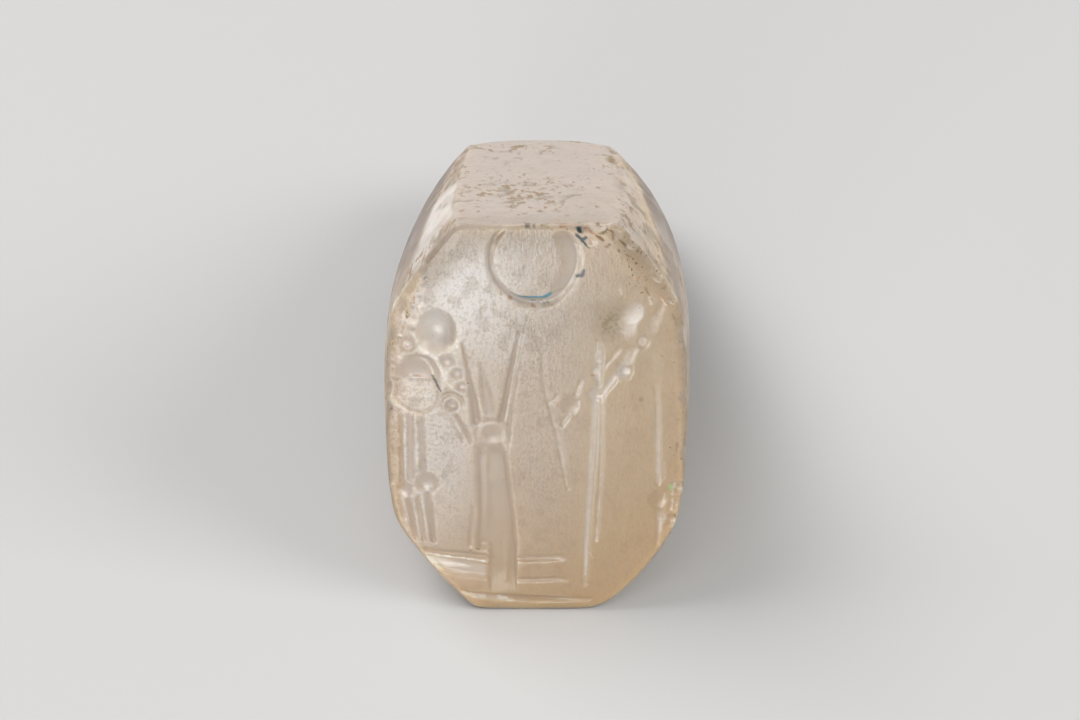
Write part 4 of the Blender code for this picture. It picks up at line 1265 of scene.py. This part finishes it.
def build_stone():
    """The stone as one closed mesh with its string hole, and the place of its origin."""
    points, faces, part, place = stone_mesh()
    origin = seal_origin(points)
    around = arc_length(points, part, place)
    pitted = roughen(points, faces, around, part, place)
    cut, edge = carve(points, part)
    gap, near_rim = soften_rim(points, part, place)
    wear_far_edge(points, part)
    knock_rim(points)
    chipped = np.maximum.reduce([bite(points, *chip) for chip in CHIPS])

    mesh = bpy.data.meshes.new("seal_stone")
    mesh.from_pydata(in_row_frame(points, np.array(origin)).tolist(), [], faces)
    bm = bmesh.new()
    bm.from_mesh(mesh)
    bmesh.ops.recalc_face_normals(bm, faces=bm.faces)
    bm.to_mesh(mesh)
    bm.free()
    mesh.shade_smooth()
    tones = stone_tones(points, around, part, place, gap, near_rim, pitted, chipped, cut, edge)
    store_colour(mesh, "tone", tones)
    store_value(mesh, "soil", soil(points[:, 2], around, part, place))
    store_value(mesh, "grime", grime(points, part, gap))
    store_value(mesh, "stain_and_shade", stains_and_shade(points, part))
    store_value(mesh, "frost", frosting(points, part, place, cut))
    stone = bpy.data.objects.new("seal_stone", mesh)
    bpy.context.scene.collection.objects.link(stone)
    return stone, origin


def store_colour(mesh, name, colours):
    """Keep a colour for each vertex."""
    layer = mesh.color_attributes.new(name, "FLOAT_COLOR", "POINT")
    full = np.concatenate([colours, np.ones((len(colours), 1))], axis=1)
    layer.data.foreach_set("color", full.astype(np.float32).ravel())


def store_value(mesh, name, values):
    """Keep a number for each vertex."""
    layer = mesh.attributes.new(name, "FLOAT", "POINT")
    layer.data.foreach_set("value", values.astype(np.float32))


# ---------------------------------------------------------------- material

# Patterns in the stone: size of a feature along x, d and h in millimetres, detail and roughness
PATTERNS = {
    "clouds": ((2.6, 2.6, 3.4), 4.0, 0.55),
    "patches": ((0.8, 0.8, 0.9), 3.0, 0.55),
    "grain": ((0.15, 0.18, 0.17), 2.0, 0.6),
    "streaks": ((0.13, 0.13, 0.4), 2.0, 0.6),
    "specks": ((0.32, 1.15, 0.3), 3.0, 0.6),
    "crowds": ((1.0, 2.4, 1.0), 2.0, 0.55),
    "flecks": ((0.14, 0.16, 0.17), 2.0, 0.6),
}

# What the patterns multiply the stone's colour by, and colours of dirt
CLOUDY = (1.04, 1.03, 1.02, 1)
GRAINED = (0.84, 0.81, 0.78, 1)
PATCHED = (0.84, 0.81, 0.77, 1)
PIT_DIRT = (0.37, 0.235, 0.115, 1)
RIM_DIRT = (0.2, 0.11, 0.042, 1)

COVER_OF_DARK_MARKS = 0.95                       # how much of the light dirt, stains and painted shade keep out of the stone
POLISH = 0.31                           # roughness where there is neither grain nor frost
GRAIN_DULLS = 0.1                       # what they add to it
FROST_DULLS = 0.06
CRACKLE_HEIGHT = 1.6e-5
STONE_SETTINGS = {
    "IOR": 1.54,
    "Specular IOR Level": 0.7,
    "Subsurface Radius": (1.0, 0.75, 0.5),
    "Subsurface Scale": 0.0022,
}


def add(tree, kind, inputs, **settings):
    """New node with its inputs set to values or linked to the sockets given."""
    made = tree.nodes.new(kind)
    for name, value in settings.items():
        setattr(made, name, value)
    for name, value in inputs.items():
        if isinstance(value, bpy.types.NodeSocket):
            tree.links.new(value, made.inputs[name])
        else:
            made.inputs[name].default_value = value
    return made


def attribute(tree, name):
    """Node that reads a value kept on the vertices."""
    return add(tree, "ShaderNodeAttribute", {}, attribute_name=name)


def in_features(tree, origin, size):
    """Seal coordinates (x, d, h), counted in features of the given size in millimetres."""
    place = add(tree, "ShaderNodeTexCoord", {})
    turned = {"Vector": place.outputs["Object"], "Location": origin, "Rotation": (-TAPER, 0, 0),
              "Scale": [side * MM for side in size]}
    return add(tree, "ShaderNodeMapping", turned, vector_type="TEXTURE").outputs[0]


def pattern(tree, origin, name):
    """One of the stone's own random patterns, from 0 to 1."""
    size, detail, roughness = PATTERNS[name]
    inputs = {"Vector": in_features(tree, origin, size), "Scale": 1.0, "Detail": detail,
              "Roughness": roughness}
    return add(tree, "ShaderNodeTexNoise", inputs).outputs[0]


def calculated(tree, operation, *values):
    """Result of an operation on numbers or sockets."""
    return add(tree, "ShaderNodeMath", dict(enumerate(values)), operation=operation).outputs[0]


def between_levels(tree, value, low, high):
    """0 where the value is below low, 1 where it is above high and smooth between."""
    inputs = {"Value": value, "From Min": low, "From Max": high}
    return add(tree, "ShaderNodeMapRange", inputs, interpolation_type="SMOOTHSTEP").outputs[0]


def blended(tree, share, first, second, how="MIX"):
    """Mix of two colours by a share."""
    inputs = {0: share, 6: first, 7: second}
    return add(tree, "ShaderNodeMix", inputs, data_type="RGBA", blend_type=how).outputs[2]


def stone_colour(tree, origin, frost, grain):
    """Base colour of the stone with its clouds, grain and dirt, and the share of dirt, stains and painted
    shade.
    """
    colour = attribute(tree, "tone").outputs["Color"]
    clouds = between_levels(tree, pattern(tree, origin, "clouds"), 0.35, 0.68)
    colour = blended(tree, clouds, colour, CLOUDY, "MULTIPLY")
    dull_grain = calculated(tree, "MULTIPLY", between_levels(tree, grain, 0.46, 0.64), frost)
    colour = blended(tree, dull_grain, colour, GRAINED, "MULTIPLY")
    patches = between_levels(tree, pattern(tree, origin, "patches"), 0.5, 0.62)
    dull_patch = calculated(tree, "MULTIPLY", patches, frost)
    colour = blended(tree, dull_patch, colour, PATCHED, "MULTIPLY")

    soil_here = attribute(tree, "soil").outputs["Fac"]
    specks = calculated(tree, "MULTIPLY_ADD", soil_here, 0.23, pattern(tree, origin, "specks"))
    specks = calculated(tree, "MULTIPLY_ADD", pattern(tree, origin, "crowds"), 0.4, specks)
    in_pits = between_levels(tree, specks, 0.9, 1.0)
    colour = blended(tree, in_pits, colour, PIT_DIRT)
    grime_here = attribute(tree, "grime").outputs["Fac"]
    flecks = calculated(tree, "MULTIPLY_ADD", grime_here, 0.16, pattern(tree, origin, "flecks"))
    at_rim = between_levels(tree, flecks, 0.735, 0.8)
    colour = blended(tree, at_rim, colour, RIM_DIRT)

    dirt_stains_and_shade = calculated(tree, "MAXIMUM", in_pits, at_rim)
    return colour, calculated(tree, "MAXIMUM", dirt_stains_and_shade, attribute(tree, "stain_and_shade").outputs["Fac"])


def chalcedony(origin):
    """Milky stone that light enters and leaves again, with a worn, grained polish and dirt in its pits."""
    material = bpy.data.materials.new("chalcedony")
    material.use_nodes = True
    tree = material.node_tree
    shader = tree.nodes["Principled BSDF"]
    frost = attribute(tree, "frost").outputs["Fac"]
    grain = pattern(tree, origin, "grain")
    colour, dirt_stains_and_shade = stone_colour(tree, origin, frost, grain)
    tree.links.new(colour, shader.inputs["Base Color"])
    clear = calculated(tree, "MULTIPLY_ADD", dirt_stains_and_shade, -COVER_OF_DARK_MARKS, 1.0)
    tree.links.new(clear, shader.inputs["Subsurface Weight"])

    dull = calculated(tree, "MULTIPLY_ADD", grain, GRAIN_DULLS, POLISH)
    dull = calculated(tree, "MULTIPLY_ADD", frost, FROST_DULLS, dull)
    tree.links.new(dull, shader.inputs["Roughness"])

    crackle = calculated(tree, "MULTIPLY_ADD", pattern(tree, origin, "streaks"), 0.9, grain)
    strength = calculated(tree, "MULTIPLY_ADD", frost, 1.9, 0.2)
    relief = calculated(tree, "MULTIPLY", crackle, strength)
    bump = add(tree, "ShaderNodeBump", {"Height": relief, "Strength": 1.0, "Distance": CRACKLE_HEIGHT})
    tree.links.new(bump.outputs[0], shader.inputs["Normal"])

    for name, value in STONE_SETTINGS.items():
        shader.inputs[name].default_value = value
    return material


# ---------------------------------------------------------------- surroundings

VIEW_ELEVATION = 45.3
VIEW_DISTANCE = 0.45
VIEW_RIGHT = 0.00017                    # how far the view's middle is from the face's, across and up
VIEW_UP = 0.00302
LENS = 304.5
CAMERA_START = 0.01
FLOOR_COLOUR = (0.6, 0.6, 0.6, 1.0)
FLOOR_ROUGHNESS = 0.9
FLOOR_SIZE = 4.0
FLOOR_DROP = 0.00002                    # below the stone's lowest point
LIT_HEIGHT = 0.008                      # of the point that the lamps face
SURROUNDING_LIGHT = 0.22

# Softboxes: azimuth, elevation, distance, width, height, power and colour
LAMPS = {
    "front_left": (-16, 7, 0.4, 0.18, 0.08, 0.8, (1.0, 0.99, 0.98)),
    "front_top": (-10, 62, 0.5, 0.4, 0.3, 0.55, (1.0, 0.99, 0.98)),
    "back_left": (-120, 55, 0.5, 0.3, 0.3, 1.6, (1.0, 0.99, 0.98)),
    "right": (75, 40, 0.5, 0.25, 0.25, 1.0, (1.0, 0.99, 0.97)),
}


def direction(azimuth, elevation):
    """Unit vector towards a place round the seal. Azimuth 0 is in front of it, and 90 at its right."""
    a, e = math.radians(azimuth), math.radians(elevation)
    return Vector((math.sin(a) * math.cos(e), -math.cos(a) * math.cos(e), math.sin(e)))


def aim(thing, target):
    """Turn a light or a camera towards a point."""
    thing.rotation_euler = (target - thing.location).to_track_quat("-Z", "Y").to_euler()


def softbox(name, azimuth, elevation, distance, width, height, power, colour):
    """Rectangular lamp that faces the seal."""
    lamp = bpy.data.lights.new(name, "AREA")
    lamp.shape = "RECTANGLE"
    lamp.size, lamp.size_y = width, height
    lamp.energy = power
    lamp.color = colour
    thing = bpy.data.objects.new(name, lamp)
    thing.location = direction(azimuth, elevation) * distance
    bpy.context.scene.collection.objects.link(thing)
    aim(thing, Vector((0.0, 0.0, LIT_HEIGHT)))


def floor():
    """Plain pale floor."""
    bpy.ops.mesh.primitive_plane_add(size=FLOOR_SIZE, location=(0.0, 0.0, -FLOOR_DROP))
    plane = bpy.context.active_object
    plane.name = "floor"
    material = bpy.data.materials.new("floor_paint")
    material.use_nodes = True
    shader = material.node_tree.nodes["Principled BSDF"]
    shader.inputs["Base Color"].default_value = FLOOR_COLOUR
    shader.inputs["Roughness"].default_value = FLOOR_ROUGHNESS
    plane.data.materials.append(material)


def studio():
    """Soft lamps round the stone, a low one at the front left among them, and white surroundings."""
    for name, settings in LAMPS.items():
        softbox(name, *settings)
    world = bpy.data.worlds.new("studio")
    bpy.context.scene.world = world
    world.use_nodes = True
    background = world.node_tree.nodes["Background"]
    background.inputs["Color"].default_value = (1.0, 1.0, 1.0, 1.0)
    background.inputs["Strength"].default_value = SURROUNDING_LIGHT
    bpy.context.scene.view_settings.view_transform = "Standard"


def camera(origin):
    """Camera above the engraved face, at the height that shows the upper facet too."""
    data = bpy.data.cameras.new("camera")
    data.lens = LENS
    data.sensor_width = 36.0
    data.clip_start = CAMERA_START
    thing = bpy.data.objects.new("camera", data)
    bpy.context.scene.collection.objects.link(thing)
    away = direction(0, VIEW_ELEVATION)
    up = direction(180, 90 - VIEW_ELEVATION)
    target = origin + Vector((VIEW_RIGHT, 0, 0)) + up * VIEW_UP
    thing.location = target + away * VIEW_DISTANCE
    aim(thing, target)
    bpy.context.scene.camera = thing


def main():
    """Build the stone and its surroundings."""
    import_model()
    stone, origin = build_stone()
    stone.data.materials.append(chalcedony(origin))
    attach(stone, "root")
    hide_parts("seal_body")
    floor()
    studio()
    camera(origin)


main()
